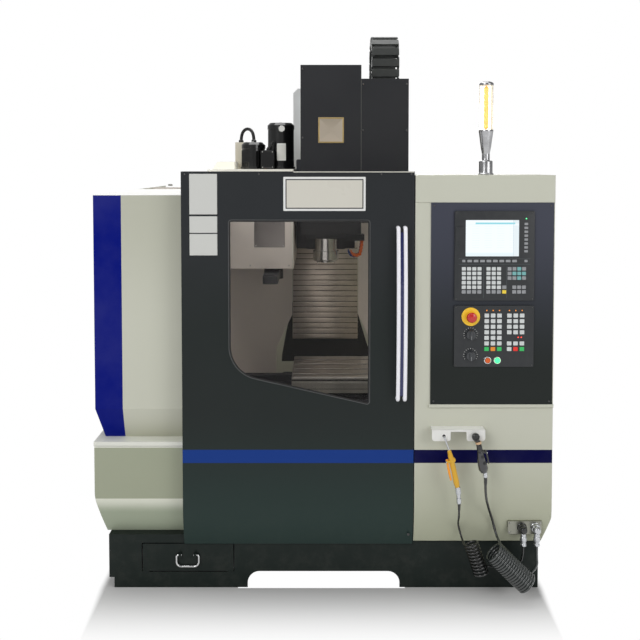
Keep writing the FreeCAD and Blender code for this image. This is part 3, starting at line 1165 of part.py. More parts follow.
def junction_box():
    body = prism_y(rectangle(JUNCTION_LEFT_X, JUNCTION_RIGHT_X, ATC_TOP_Z, JUNCTION_TOP_Z, 4.0),
                   JUNCTION_FRONT_Y, JUNCTION_REAR_Y)
    terminal = prism_y(rectangle(-294.0, -230.0, ATC_TOP_Z, TERMINAL_TOP_Z, 12.0), -50.0, -12.0)
    return Part.makeCompound([body, terminal])


# ---------------------------------------------------------------- rear cabinet
def rear_cabinet():
    y1 = REAR_Y - REAR_DOOR_THICK - RUNNING_GAP
    shell = box(-REAR_HALF_WIDTH, REAR_HALF_WIDTH, CABIN_REAR_Y, y1, REAR_BOTTOM_Z, REAR_TOP_Z)
    hollow = box(-REAR_HALF_WIDTH + SHEET, REAR_HALF_WIDTH - SHEET, CABIN_REAR_Y + SHEET, y1 + 1,
                 REAR_BOTTOM_Z + SHEET, REAR_TOP_Z - SHEET)
    knuckles = []
    for z in HINGE_HEIGHTS:
        knuckles.append(rod((HINGE_X, HINGE_Y, z - 40), (HINGE_X, HINGE_Y, z), 14.0))
        knuckles.append(box(REAR_HALF_WIDTH - SHEET, HINGE_X, y1 - 30, HINGE_Y, z - 40, z))
    return fused([shell.cut(hollow)] + knuckles)


HINGE_X = REAR_HALF_WIDTH + 9.0
HINGE_Y = REAR_Y - REAR_DOOR_THICK - 6.0
HINGE_HEIGHTS = [REAR_BOTTOM_Z + 200.0, REAR_TOP_Z - 200.0]


def rear_door():
    y0 = REAR_Y - REAR_DOOR_THICK
    x0 = -REAR_HALF_WIDTH
    x1 = REAR_HALF_WIDTH
    plate = box(x0, x1, y0, REAR_Y, REAR_BOTTOM_Z, REAR_TOP_Z)
    plate = plate.cut(box(x0 + SHEET, x1 - SHEET, y0 - 1, REAR_Y - SHEET, REAR_BOTTOM_Z + SHEET, REAR_TOP_Z - SHEET))
    knuckles = []
    for z in HINGE_HEIGHTS:
        knuckles.append(rod((HINGE_X, HINGE_Y, z + RUNNING_GAP), (HINGE_X, HINGE_Y, z + 40), 14.0))
        knuckles.append(box(x1 - SHEET, HINGE_X + 7, y0, y0 + 12, z + RUNNING_GAP, z + 40))
    return fused([plate] + knuckles)


# ---------------------------------------------------------------- wash-down guns
def gun_bracket():
    """Shelf with a folded front whose two lobes carry a gun each."""
    shelf = box(BRACKET_LEFT_X, BRACKET_RIGHT_X, BRACKET_Y, FRONT_Y, BRACKET_TOP_Z - SHEET, BRACKET_TOP_Z)
    left = BRACKET_LEFT_X + BRACKET_LOBE
    right = BRACKET_RIGHT_X - BRACKET_LOBE
    foot = HOOK_Z - 16
    waist = HOOK_Z + 19
    plate = prism_y(
        [(BRACKET_LEFT_X, BRACKET_TOP_Z), (BRACKET_LEFT_X, foot, 12.0), (left, foot, 12.0), (left, waist, 8.0),
         (right, waist, 8.0), (right, foot, 12.0), (BRACKET_RIGHT_X, foot, 12.0), (BRACKET_RIGHT_X, BRACKET_TOP_Z)],
        BRACKET_Y, BRACKET_Y + SHEET)
    back = box(left - 22, right + 2, FRONT_Y - SHEET, FRONT_Y, 625.0, BRACKET_TOP_Z)
    holes = []
    for x, nozzle in ((AIR_GUN_X, AIR_NOZZLE), (WATER_GUN_X, WATER_NOZZLE)):
        holes.append(rod((x, BRACKET_Y - 1, HOOK_Z), (x, BRACKET_Y + SHEET + 1, HOOK_Z), nozzle + 2 * HOOK_PLAY))
    return fused([shelf, plate, back]).cut(holes)


def turned_body(stations):
    """A body through round sections (point, diameter), each square to its neighbours' direction."""
    places = [V(*place) for place, diameter in stations]
    rings = []
    for i, (place, diameter) in enumerate(stations):
        along = V(0, 0, 0)
        if i > 0:
            along = along + (places[i] - places[i - 1]).normalize()
        if i < len(stations) - 1:
            along = along + (places[i + 1] - places[i]).normalize()
        rings.append(Part.Wire([Part.makeCircle(diameter / 2, places[i], along)]))
    return Part.makeLoft(rings, True, True)


def gun(x, points, diameters, nozzle):
    """A gun hung by its bent nozzle in the bracket: the body follows points with its diameters."""
    top = V(points[0][0], GUN_Y, points[0][1])
    step = (V(x, GUN_Y, HOOK_Z) - top).normalize() * 2
    stations = [((x, BRACKET_Y + SHEET + 8, HOOK_Z), nozzle), ((x, GUN_Y, HOOK_Z), nozzle)]
    stations.append(((top.x + step.x, GUN_Y, top.z + step.z), nozzle + 1))
    stations += [((point[0], GUN_Y, point[1]), diameter) for point, diameter in zip(points, diameters)]
    return turned_body(stations)


AIR_GUN_END = (AIR_GUN_X + 57, GUN_Y, 358.0)
AIR_GUN_POINTS = [(AIR_GUN_X + 18, 571.0), (AIR_GUN_X + 25, 540.0), (AIR_GUN_X + 48, 432.0), (AIR_GUN_X + 51, 417.0),
                  (AIR_GUN_X + 52, 414.0), (AIR_GUN_END[0], 374.0), (AIR_GUN_END[0], 358.0)]
AIR_GUN_SECTIONS = [16.0, 22.0, 25.0, 19.0, 15.0, 15.0, 14.0]
WATER_GUN_END = (WATER_GUN_X + 33, GUN_Y, 456.0)
WATER_GUN_POINTS = [(WATER_GUN_X + 1, 604.0), (WATER_GUN_X + 6, 589.0), (WATER_GUN_X + 11, 572.0),
                    (WATER_GUN_X + 24, 512.0), (WATER_GUN_X + 32, 480.0), (WATER_GUN_END[0], 472.0),
                    (WATER_GUN_END[0], 456.0)]
WATER_GUN_SECTIONS = [26.0, 20.0, 22.0, 30.0, 20.0, 17.0, 17.0]
LEVER_X = AIR_GUN_X + 6.0
LEVER_Z = 545.0
TRIGGER_X = WATER_GUN_X + 36.0
TRIGGER_Z = 582.0
LEVER_PIN = 4.0


def pin_ears(pin_x, body_x, z, reach):
    """Two ears on a gun's body with the bore of the lever's pin."""
    ears = []
    for y in (-9.0, 9.0):
        ears.append(box(min(pin_x - 7, body_x), max(pin_x + 7, body_x), GUN_Y + y - 2, GUN_Y + y + 2, z - 7, z + 7))
    bore = rod((pin_x, GUN_Y - reach, z), (pin_x, GUN_Y + reach, z), LEVER_PIN + 2 * SHAFT_GAP)
    return fused(ears).cut(bore)


def air_gun():
    body = gun(AIR_GUN_X, AIR_GUN_POINTS, AIR_GUN_SECTIONS, AIR_NOZZLE)
    return fused([body, pin_ears(LEVER_X, AIR_GUN_POINTS[1][0], LEVER_Z, 20.0)])


def gun_lever(x, z, length, lean, side):
    """A flat lever on a cross pin, standing off the body at its side and following its slant."""
    bar = prism_y([(x - 4 * side, z + 4), (x + 5 * side, z + 4), (x + 5 * side + lean, z - length),
                   (x - 3 * side + lean, z - length)], GUN_Y - 6.5, GUN_Y + 6.5)
    pin = rod((x, GUN_Y - 12, z), (x, GUN_Y + 12, z), LEVER_PIN)
    return fused([bar, pin])


def air_gun_lever():
    return gun_lever(LEVER_X, LEVER_Z, 92.0, 12.0, -1)


def water_gun():
    body = gun(WATER_GUN_X, WATER_GUN_POINTS, WATER_GUN_SECTIONS, WATER_NOZZLE)
    return fused([body, pin_ears(TRIGGER_X, WATER_GUN_POINTS[1][0] + 2, TRIGGER_Z, 20.0)])


def water_gun_trigger():
    return gun_lever(TRIGGER_X, TRIGGER_Z, 58.0, 14.0, 1)


def coupling_plate():
    """Plate on the cabinet's foot with two sockets that turn down to the hose couplings."""
    y = COUPLING_Y + COUPLING_REACH
    arm = box(726.0, 858.0, y, FRONT_Y + 60, COUPLING_Z - 4, COUPLING_Z + 24)
    arm = arm.cut(cabinet_hull(0.0, RIGHT_TOP_Z))
    plate = prism_y(rectangle(726.0, 858.0, COUPLING_Z - 27, COUPLING_Z + 24, 6.0), y, y + SHEET)
    sockets = []
    for x in (AIR_COUPLING_X, WATER_COUPLING_X):
        sockets.append(rod((x, y, COUPLING_Z), (x, COUPLING_Y, COUPLING_Z), 26.0))
        sockets.append(Part.makeSphere(13.0, V(x, COUPLING_Y, COUPLING_Z)))
        sockets.append(rod((x, COUPLING_Y, COUPLING_Z), (x, COUPLING_Y, COUPLING_Z - 60), 20.0))
    return fused([arm, plate] + sockets)


# ---------------------------------------------------------------- hoses
def arc_between(start, corner, end):
    """The arc tangent to start-corner and corner-end, whose two legs are equally long."""
    chord_middle = (start + end) * 0.5
    half_chord = start.distanceToPoint(end) / 2
    rise = corner.distanceToPoint(chord_middle)
    if rise < 1e-6 * half_chord:
        return Part.makeLine(start, end)
    share = half_chord * math.tan(math.atan2(rise, half_chord) / 2) / rise
    middle = chord_middle + (corner - chord_middle) * share
    return Part.Arc(start, middle, end).toShape()


def route_edges(points, diameter, name):
    """Straight runs joined by tangent arcs; prints the tightest radius."""
    points = [V(*p) for p in points]
    edges = []
    here = points[0]
    tightest = 1e9
    for before, corner, after in zip(points, points[1:], points[2:]):
        back = before - corner
        ahead = after - corner
        reach = 0.45 * min(back.Length, ahead.Length)
        half_turn = (math.pi - back.getAngle(ahead)) / 2
        tightest = min(tightest, reach / math.tan(half_turn))
        back.normalize()
        ahead.normalize()
        start = corner + back * reach
        end = corner + ahead * reach
        edges.append(Part.makeLine(here, start))
        edges.append(arc_between(start, corner, end))
        here = end
    edges.append(Part.makeLine(here, points[-1]))
    print(name, "tightest bend", round(tightest, 1), "mm =", round(tightest / diameter, 1), "diameters")
    return edges


def helix_point(coil, turn):
    """A point on the curls of (axis start, axis end, radius, curls, hand), turn counted from the first."""
    start, end, radius, curls, hand = coil
    along = end - start
    across, third = helix_sides(coil)
    angle = 2 * math.pi * (turn - 0.25)
    return start + along * (turn / curls) + (across * math.cos(angle) + third * math.sin(angle)) * radius


def helix_sides(coil):
    """Two unit vectors across the axis; the first is the nearest to -Y, the hand turns the second."""
    start, end, radius, curls, hand = coil
    along = (end - start).normalize()
    across = V(0, -1, 0) - along * V(0, -1, 0).dot(along)
    across.normalize()
    return across, along.cross(across) * hand


def helix_heading(coil, turn):
    start, end, radius, curls, hand = coil
    across, third = helix_sides(coil)
    angle = 2 * math.pi * (turn - 0.25)
    heading = (end - start) * (1 / (2 * math.pi * radius * curls))
    heading += third * math.cos(angle) - across * math.sin(angle)
    return heading.normalize()


def helix_edges(coil, diameter, name):
    """The curls as biarcs of a quarter turn; prints the least gap of the hose to itself."""
    edges = []
    curls = coil[3]
    steps = round(4 * curls)
    for i in range(steps):
        p0 = helix_point(coil, i * curls / steps)
        p1 = helix_point(coil, (i + 1) * curls / steps)
        d0 = helix_heading(coil, i * curls / steps)
        d1 = helix_heading(coil, (i + 1) * curls / steps)
        gap = p1 - p0
        turn_term = 2 * (1 - d0.dot(d1))
        lean = gap.dot(d0 + d1)
        leg = (-lean + math.sqrt(lean ** 2 + turn_term * gap.dot(gap))) / turn_term
        corner0 = p0 + d0 * leg
        corner1 = p1 - d1 * leg
        middle = (corner0 + corner1) * 0.5
        edges.append(arc_between(p0, corner0, middle))
        edges.append(arc_between(middle, corner1, p1))
    samples = [helix_point(coil, k / 48) for k in range(3 * 48)]
    least = min(samples[i].distanceToPoint(samples[j])
                for i in range(48) for j in range(i + 36, i + 60))
    print(name, "least gap between curls", round(least - diameter, 2), "mm")
    return edges


def hose(lead, coil, tail, run, diameter, name):
    """One unbroken hose: lead-in route, curls, and the way to its coupling.

    The curls start and end with a straight run along their own heading."""
    curls = coil[3]
    first = helix_point(coil, 0)
    last = helix_point(coil, curls)
    lead_in = list(lead) + [tuple(first - helix_heading(coil, 0) * run), tuple(first)]
    lead_out = [tuple(last), tuple(last + helix_heading(coil, curls) * run)] + list(tail)
    edges = route_edges(lead_in, diameter, name + " lead")
    edges += helix_edges(coil, diameter, name)
    edges += route_edges(lead_out, diameter, name + " tail")
    path = Part.Wire(edges)
    heading = V(*lead[1]) - V(*lead[0])
    ring = Part.Wire([Part.Circle(V(*lead[0]), heading, diameter / 2).toShape()])
    tube = path.makePipeShell([ring], True, False)
    section = math.pi * diameter ** 2 / 4
    print(name, "length", round(path.Length), "mm, volume against section x length",
          round(tube.Volume / (section * path.Length), 4))
    return tube


# Curls: axis start, axis end, radius, count and hand of turning.
AIR_COIL = (V(572, -954, 226), V(612, -954, 108), AIR_CURL_RADIUS, AIR_CURLS, -1)
WATER_COIL = (V(655, -970, 200), V(786, -970, 74), WATER_CURL_RADIUS, WATER_CURLS, 1)
AIR_RUN = 54.0
WATER_RUN = 68.0
# Hand-laid routes: down from each gun, and from the curls up to the couplings.
AIR_LEAD = [
    AIR_GUN_END,
    (AIR_GUN_END[0], GUN_Y, 326.0),
    (AIR_GUN_END[0] + 5, -899.0, 278.0),
]
AIR_TAIL = [
    (702.0, -898.0, 98.0),
    (758.0, -900.0, 104.0),
    (AIR_COUPLING_X, COUPLING_Y, 148.0),
    (AIR_COUPLING_X, COUPLING_Y, 202.0),
]
WATER_LEAD = [
    WATER_GUN_END,
    (WATER_GUN_END[0], GUN_Y, 414.0),
    (WATER_GUN_END[0] + 18, -930.0, 352.0),
    (WATER_GUN_END[0] + 39, -903.0, 296.0),
]
WATER_TAIL = [
    (WATER_COUPLING_X, COUPLING_Y, 152.0),
    (WATER_COUPLING_X, COUPLING_Y, 202.0),
]
# Conduit in an arch from the junction box to the cap of the magazine motor.
CONDUIT_POINTS = [
    (-409.0, 150.0, JUNCTION_TOP_Z),
    (-409.0, 150.0, 1826.0),
    (-388.0, 129.5, 1855.0),
    (-359.0, 100.5, 1855.0),
    (SHORT_MOTOR_X, 80.0, 1826.0),
    (SHORT_MOTOR_X, 80.0, SHORT_MOTOR_TOP_Z),
]


def air_hose():
    return hose(AIR_LEAD, AIR_COIL, AIR_TAIL, AIR_RUN, AIR_HOSE_DIAMETER, "air hose")


def water_hose():
    return hose(WATER_LEAD, WATER_COIL, WATER_TAIL, WATER_RUN, WATER_HOSE_DIAMETER, "water hose")


def motor_conduit():
    path = Part.Wire(route_edges(CONDUIT_POINTS, CONDUIT_DIAMETER, "conduit"))
    ring = Part.Wire([Part.Circle(V(*CONDUIT_POINTS[0]), V(0, 0, 1), CONDUIT_DIAMETER / 2).toShape()])
    return path.makePipeShell([ring], True, False)


# ---------------------------------------------------------------- every piece
PIECES = {
    "base_skirt": base_skirt,
    "chip_drawer": chip_drawer,
    "drawer_handle": drawer_handle,
    "bed": bed,
    "levelling_feet": levelling_feet,
    "column": column,
    "saddle": saddle,
    "table": table,
    "x_ballscrew": x_ballscrew,
    "y_ballscrew": y_ballscrew,
    "z_ballscrew": z_ballscrew,
    "axis_motors": axis_motors,
    "x_motor": x_motor,
    "headstock": headstock,
    "spindle_cartridge": spindle_cartridge,
    "spindle": spindle,
    "spindle_motor": spindle_motor,
    "head_cover": head_cover,
    "coolant_nozzles": coolant_nozzles,
    "cable_chain": cable_chain,
    "chain_trough": chain_trough,
    "z_way_cover": z_way_cover,
    "y_bellows": y_bellows,
    "chip_pan": chip_pan,
    "back_wall": back_wall,
    "left_panel": left_panel,
    "front_lower_panel": front_lower_panel,
    "side_panels": side_panels,
    "right_cabinet": right_cabinet,
    "door_header": door_header,
    "door": door,
    "door_window": door_window,
    "door_handle": door_handle,
    "control_plate": control_plate,
    "operator_panels": operator_panels,
    "panel_keys": panel_keys,
    "estop_button": estop_button,
    "spindle_knob": lambda: override_knob(KNOB_HIGH_Z),
    "feed_knob": lambda: override_knob(KNOB_LOW_Z),
    "start_button": lambda: push_button(START_X),
    "stop_button": lambda: push_button(STOP_X),
    "beacon_pole": beacon_pole,
    "beacon_lens": beacon_lens,
    "atc_cover": atc_cover,
    "magazine_disc": magazine_disc,
    "atc_arm": atc_arm,
    "arm_sleeve": arm_sleeve,
    "atc_drive": atc_drive,
    "junction_box": junction_box,
    "rear_cabinet": rear_cabinet,
    "rear_door": rear_door,
    "gun_bracket": gun_bracket,
    "air_gun": air_gun,
    "air_gun_lever": air_gun_lever,
    "water_gun": water_gun,
    "water_gun_trigger": water_gun_trigger,
    "coupling_plate": coupling_plate,
    "air_hose": air_hose,
    "water_hose": water_hose,
    "motor_conduit": motor_conduit,
}

for name, build in PIECES.items():
    shape = build()
    if not shape.isValid():
        print("not valid:", name)
    shape.exportStep("parts/" + name + ".step")
print(len(PIECES), "pieces")
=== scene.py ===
import math

import bmesh
import bpy
import numpy as np
from bpy.props import FloatProperty, FloatVectorProperty, PointerProperty
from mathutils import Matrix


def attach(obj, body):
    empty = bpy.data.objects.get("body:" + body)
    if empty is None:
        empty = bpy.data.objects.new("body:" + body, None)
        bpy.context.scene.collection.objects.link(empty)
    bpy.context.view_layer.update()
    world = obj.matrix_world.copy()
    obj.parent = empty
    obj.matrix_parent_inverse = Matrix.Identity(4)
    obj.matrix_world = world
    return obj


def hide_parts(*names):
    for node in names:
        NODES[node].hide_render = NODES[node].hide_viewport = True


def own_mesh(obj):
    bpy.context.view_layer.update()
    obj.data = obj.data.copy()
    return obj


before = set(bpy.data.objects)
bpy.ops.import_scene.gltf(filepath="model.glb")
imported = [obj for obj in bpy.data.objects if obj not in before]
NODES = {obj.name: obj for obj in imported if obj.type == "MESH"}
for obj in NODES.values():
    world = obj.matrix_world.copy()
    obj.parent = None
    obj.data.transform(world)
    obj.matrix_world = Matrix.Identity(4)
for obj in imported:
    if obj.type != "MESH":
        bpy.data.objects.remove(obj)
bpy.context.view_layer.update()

bl_info = {
    "name": "Machining center",
    "version": (1, 0, 0),
    "blender": (4, 5, 0),
    "location": "View3D > Sidebar > Machining center",
    "description": "Finishes and fine pieces of an enclosed vertical machining center",
    "category": "Object",
}

MM = 0.001
WELD_DISTANCE = 2e-6        # metres

# Unit vectors of the row frame, and the three columns (right, up, out) of a face that looks
# at the operator, to the right, to the left, up, to the rear, and down.
FRONT = np.array([[1, 0, 0], [0, 0, 1], [0, -1, 0]], float)
RIGHT = np.array([[0, 1, 0], [0, 0, 1], [1, 0, 0]], float)
LEFT = np.array([[0, -1, 0], [0, 0, 1], [-1, 0, 0]], float)
TOP = np.array([[1, 0, 0], [0, 1, 0], [0, 0, 1]], float)
REAR = np.array([[-1, 0, 0], [0, 0, 1], [0, 1, 0]], float)
DOWN = np.array([[1, 0, 0], [0, -1, 0], [0, 0, -1]], float)


# ---------------------------------------------------------------- sizes and colours to change
def colour(name, description, value):
    return FloatVectorProperty(name=name, description=description, default=value, size=4,
                               subtype="COLOR", min=0.0, max=1.0)


def length(name, description, value):
    return FloatProperty(name=name, description=description, default=value * MM, unit="LENGTH")


def shade(text):
    """A colour written as six hexadecimal digits, turned into linear light."""
    parts = np.array([int(text[i:i + 2], 16) for i in (0, 2, 4)]) / 255
    low = parts / 12.92
    high = ((parts + 0.055) / 1.055) ** 2.4
    return tuple(float(v) for v in np.where(parts <= 0.04045, low, high)) + (1.0,)


class MachinePaint(bpy.types.PropertyGroup):
    dark: colour("Dark paint", "Sliding door and head cover", shade("26292c"))
    base: colour("Base paint", "Skirt and chip drawer", shade("17201d"))
    cream: colour("Cream paint", "Cabinet and side panels", shade("d4d5c6"))
    blue: colour("Bright blue", "Stripe across the door", shade("003688"))
    navy: colour("Deep blue", "Stripe across the cabinet", shade("000040"))
    side_blue: colour("Left blue", "Upright stripe on the left panel", shade("00127e"))
    # Written paler than the walls' own grey, as painted light for the dim cabin.
    inside: colour("Cabin grey", "Inner walls and changer cover", shade("efe7df"))


class MachineSizes(bpy.types.PropertyGroup):
    stripe_low: length("Stripe bottom", "Lower edge of the stripe across the front", 514)
    stripe_high: length("Stripe top", "Upper edge of the stripe across the front", 566)
    left_stripe: length("Left stripe edge", "Right edge of the upright stripe", -790)
    air_hose: length("Air hose", "Diameter of the air hose", 8)
    water_hose: length("Water hose", "Diameter of the water hose", 10)
    conduit: length("Conduit", "Diameter of the motor conduit", 16)
    key_edge: length("Key edge", "Rounding of a panel key's edge", 0.9)


def paint():
    return bpy.context.scene.machine_paint


def sizes():
    return bpy.context.scene.machine_sizes


# ---------------------------------------------------------------- node helpers
def put(tree, kind, settings=None, at=None, **inputs):
    """Adds a node; inputs by name (an underscore is a space) or by place, as values or sockets."""
    node = tree.nodes.new(kind)
    for key, value in (settings or {}).items():
        setattr(node, key, value)
    pairs = list(enumerate(at or [])) + [(key.replace("_", " "), value) for key, value in inputs.items()]
    for key, value in pairs:
        if value is None:
            continue
        if isinstance(value, bpy.types.NodeSocket):
            tree.links.new(value, node.inputs[key])
        else:
            node.inputs[key].default_value = value
    return node


def maths(tree, operation, *values):
    return put(tree, "ShaderNodeMath", {"operation": operation}, at=values).outputs[0]


def between(tree, value, low, high):
    """Maps value from low..high to 0..1, smoothly, and holds it at the ends."""
    node = put(tree, "ShaderNodeMapRange", {"interpolation_type": "SMOOTHSTEP"},
               Value=value, From_Min=low, From_Max=high)
    return node.outputs[0]


# Places of the factor, of the two colours and of the result among a Mix node's sockets.
MIX_FACTOR, MIX_FIRST, MIX_SECOND, MIX_RESULT = 0, 6, 7, 2


def mix(tree, factor, first, second):
    node = put(tree, "ShaderNodeMix", {"data_type": "RGBA"})
    for index, value in ((MIX_FACTOR, factor), (MIX_FIRST, first), (MIX_SECOND, second)):
        if isinstance(value, bpy.types.NodeSocket):
            tree.links.new(value, node.inputs[index])
        else:
            node.inputs[index].default_value = value
    return node.outputs[MIX_RESULT]


def noise(tree, vector, scale, detail=2.0, rough=0.5):
    node = put(tree, "ShaderNodeTexNoise", Vector=vector, Scale=scale, Detail=detail, Roughness=rough)
    return node.outputs["Fac"]


def place(tree):
    return put(tree, "ShaderNodeTexCoord").outputs["Object"]


def group(name, inputs, outputs, body):
    """A shader node group, built once: body(tree, inputs) returns {output name: socket}."""
    if name in bpy.data.node_groups:
        return bpy.data.node_groups[name]
    tree = bpy.data.node_groups.new(name, "ShaderNodeTree")
    for label, kind, value in inputs:
        socket = tree.interface.new_socket(name=label, in_out="INPUT", socket_type=kind)
        socket.default_value = value
    for label, kind in outputs:
        tree.interface.new_socket(name=label, in_out="OUTPUT", socket_type=kind)
    entry = tree.nodes.new("NodeGroupInput")
    leave = tree.nodes.new("NodeGroupOutput")
    made = body(tree, {label: entry.outputs[label] for label, kind, value in inputs})
    for label, socket in made.items():
        tree.links.new(socket, leave.inputs[label])
    return tree


FLOAT = "NodeSocketFloat"
VECTOR = "NodeSocketVector"


def coat_skin():
    """Powder coat: pores of about a millimetre, slow waves, and broad smudges of handling."""
    def body(tree, given):
        where = place(tree)
        pores = noise(tree, where, given["Grain"], 3.0, 0.6)
        waves = noise(tree, where, 26.0, 2.0)
        smudge = noise(tree, where, 3.1, 5.0, 0.62)
        height = maths(tree, "ADD", maths(tree, "MULTIPLY", pores, 0.8),
                       maths(tree, "MULTIPLY", waves, 0.35))
        return {"Height": height, "Pores": pores, "Smudge": between(tree, smudge, 0.32, 0.72)}
    return group("Powder coat skin", [("Grain", FLOAT, 900.0)],
                 [("Height", FLOAT), ("Pores", FLOAT), ("Smudge", FLOAT)], body)


def edge_wear():
    """Soft normals round sharp edges, and a broken mask along those edges."""
    def body(tree, given):
        soft = put(tree, "ShaderNodeBevel", {"samples": 4}, Radius=given["Radius"]).outputs[0]
        hard = put(tree, "ShaderNodeNewGeometry").outputs["Normal"]
        same = put(tree, "ShaderNodeVectorMath", {"operation": "DOT_PRODUCT"},
                   at=[soft, hard]).outputs["Value"]
        edge = between(tree, maths(tree, "SUBTRACT", 1.0, same), 0.02, 0.25)
        broken = between(tree, noise(tree, place(tree), 60.0, 6.0, 0.7), 0.45, 0.75)
        return {"Normal": soft, "Mask": maths(tree, "MULTIPLY", edge, broken)}
    return group("Edge wear", [("Radius", FLOAT, 0.0025)], [("Normal", VECTOR), ("Mask", FLOAT)], body)


def foot_dust():
    """Dust and splashes that thin out with height above the floor."""
    def body(tree, given):
        where = place(tree)
        height = put(tree, "ShaderNodeSeparateXYZ", Vector=where).outputs["Z"]
        low = maths(tree, "SUBTRACT", 1.0, between(tree, height, 0.0, given["Reach"]))
        spots = between(tree, noise(tree, where, 14.0, 8.0, 0.7), 0.42, 0.7)
        return {"Mask": maths(tree, "MULTIPLY", low, spots)}
    return group("Foot dust", [("Reach", FLOAT, 0.45)], [("Mask", FLOAT)], body)


def brushed_grain():
    """Fine scratches: noise stretched by the three factors of Stretch, larger across the grain."""
    def body(tree, given):
        where = put(tree, "ShaderNodeVectorMath", {"operation": "MULTIPLY"},
                    at=[place(tree), given["Stretch"]])
        fine = noise(tree, where.outputs[0], 1.0, 4.0, 0.65)
        blot = noise(tree, place(tree), 9.0, 4.0, 0.6)
        return {"Height": fine, "Blotch": between(tree, blot, 0.3, 0.7)}
    return group("Brushed grain", [("Stretch", VECTOR, (20.0, 900.0, 900.0))],
                 [("Height", FLOAT), ("Blotch", FLOAT)], body)


def painted_band():
    """1 where the place measured along Axis is between Low and High, with a crisp edge."""
    def body(tree, given):
        along = put(tree, "ShaderNodeVectorMath", {"operation": "DOT_PRODUCT"},
                    at=[place(tree), given["Axis"]]).outputs["Value"]
        over = maths(tree, "GREATER_THAN", along, given["Low"])
        under = maths(tree, "LESS_THAN", along, given["High"])
        return {"Mask": maths(tree, "MULTIPLY", over, under)}
    return group("Painted band",
                 [("Axis", VECTOR, (0.0, 0.0, 1.0)), ("Low", FLOAT, 0.0), ("High", FLOAT, 1.0)],
                 [("Mask", FLOAT)], body)


def moulded_skin():
    """Fine spark-eroded grain of a moulded part, with faint finger marks."""
    def body(tree, given):
        where = place(tree)
        spark = noise(tree, where, given["Grain"], 2.0, 0.7)
        marks = between(tree, noise(tree, where, 45.0, 5.0, 0.6), 0.4, 0.75)
        return {"Height": spark, "Marks": marks}
    return group("Moulded skin", [("Grain", FLOAT, 2600.0)], [("Height", FLOAT), ("Marks", FLOAT)], body)


def use(tree, shared, **inputs):
    return put(tree, "ShaderNodeGroup", {"node_tree": shared}, **inputs).outputs


def material(name):
    """A new material with its Principled shader, or (the kept one, None) if it exists."""
    kept = bpy.data.materials.get(name)
    if kept:
        return kept, None, None
    made = bpy.data.materials.new(name)
    made.use_nodes = True
    tree = made.node_tree
    return made, tree, tree.nodes["Principled BSDF"]


def join(tree, value, shader, socket):
    if isinstance(value, bpy.types.NodeSocket):
        tree.links.new(value, shader.inputs[socket])
    else:
        shader.inputs[socket].default_value = value


def painted(name, base, rough=0.42, grain=900.0, depth=0.00018, bands=(), dust=0.0, wear="8f9092", coat=0.0,
            mottle=0.35, shine=0.3, painted_light_tones=()):
    """Powder-coated sheet metal, with painted bands (axis, low, high, colour): stripes of paint, and on
    some panels a painted highlight; tones are (bottom, top, colour) of painted light and shade, each
    full below its bottom and faded out at its top."""
    made, tree, shader = material(name)
    if tree is None:
        return made
    skin = use(tree, coat_skin(), Grain=grain)
    edges = use(tree, edge_wear(), Radius=0.0028)
    tone = base
    # Painted light and shade: each tone makes the paint darker or paler by height, as the light fell on it.
    for bottom, top, other in painted_light_tones:
        height = put(tree, "ShaderNodeSeparateXYZ", Vector=place(tree)).outputs["Z"]
        tone = mix(tree, between(tree, height, bottom, top), shade(other), tone)
    for axis, start, end, other in bands:
        mask = use(tree, painted_band(), Axis=axis, Low=start, High=end)["Mask"]
        tone = mix(tree, mask, tone, other)
    pale = mix(tree, maths(tree, "MULTIPLY", skin["Pores"], 0.10), tone, shade("ffffff"))
    tone = mix(tree, maths(tree, "MULTIPLY", skin["Smudge"], mottle), tone, pale)
    if dust:
        mask = use(tree, foot_dust())["Mask"]
        tone = mix(tree, maths(tree, "MULTIPLY", mask, dust), tone, shade("8d8a82"))
    tone = mix(tree, maths(tree, "MULTIPLY", edges["Mask"], 0.22), tone, shade(wear))
    join(tree, tone, shader, "Base Color")
    shader.inputs["Specular IOR Level"].default_value = shine
    spread = maths(tree, "MULTIPLY_ADD", skin["Smudge"], 0.10, rough - 0.05)
    join(tree, spread, shader, "Roughness")
    shader.inputs["Coat Weight"].default_value = coat
    bump = put(tree, "ShaderNodeBump", Strength=0.55, Distance=depth, Height=skin["Height"],
               Normal=edges["Normal"])
    join(tree, bump.outputs[0], shader, "Normal")
    return made


def metal(name, base, rough=0.28, stretch=(20.0, 900.0, 900.0), strength=0.35, dark="3a3835", stain=0.25):
    """Bare metal with a grain; stretch is large across the scratches."""
    made, tree, shader = material(name)
    if tree is None:
        return made
    grain = use(tree, brushed_grain(), Stretch=stretch)
    edges = use(tree, edge_wear(), Radius=0.0012)
    tone = mix(tree, maths(tree, "MULTIPLY", grain["Blotch"], stain), base, shade(dark))
    tone = mix(tree, maths(tree, "MULTIPLY", grain["Height"], 0.18), tone, shade("f4f2ee"))
    join(tree, tone, shader, "Base Color")
    shader.inputs["Metallic"].default_value = 1.0
    join(tree, maths(tree, "MULTIPLY_ADD", grain["Height"], 0.18, rough - 0.09), shader, "Roughness")
    bump = put(tree, "ShaderNodeBump", Strength=strength, Distance=0.0001, Height=grain["Height"],
               Normal=edges["Normal"])
    join(tree, bump.outputs[0], shader, "Normal")
    return made


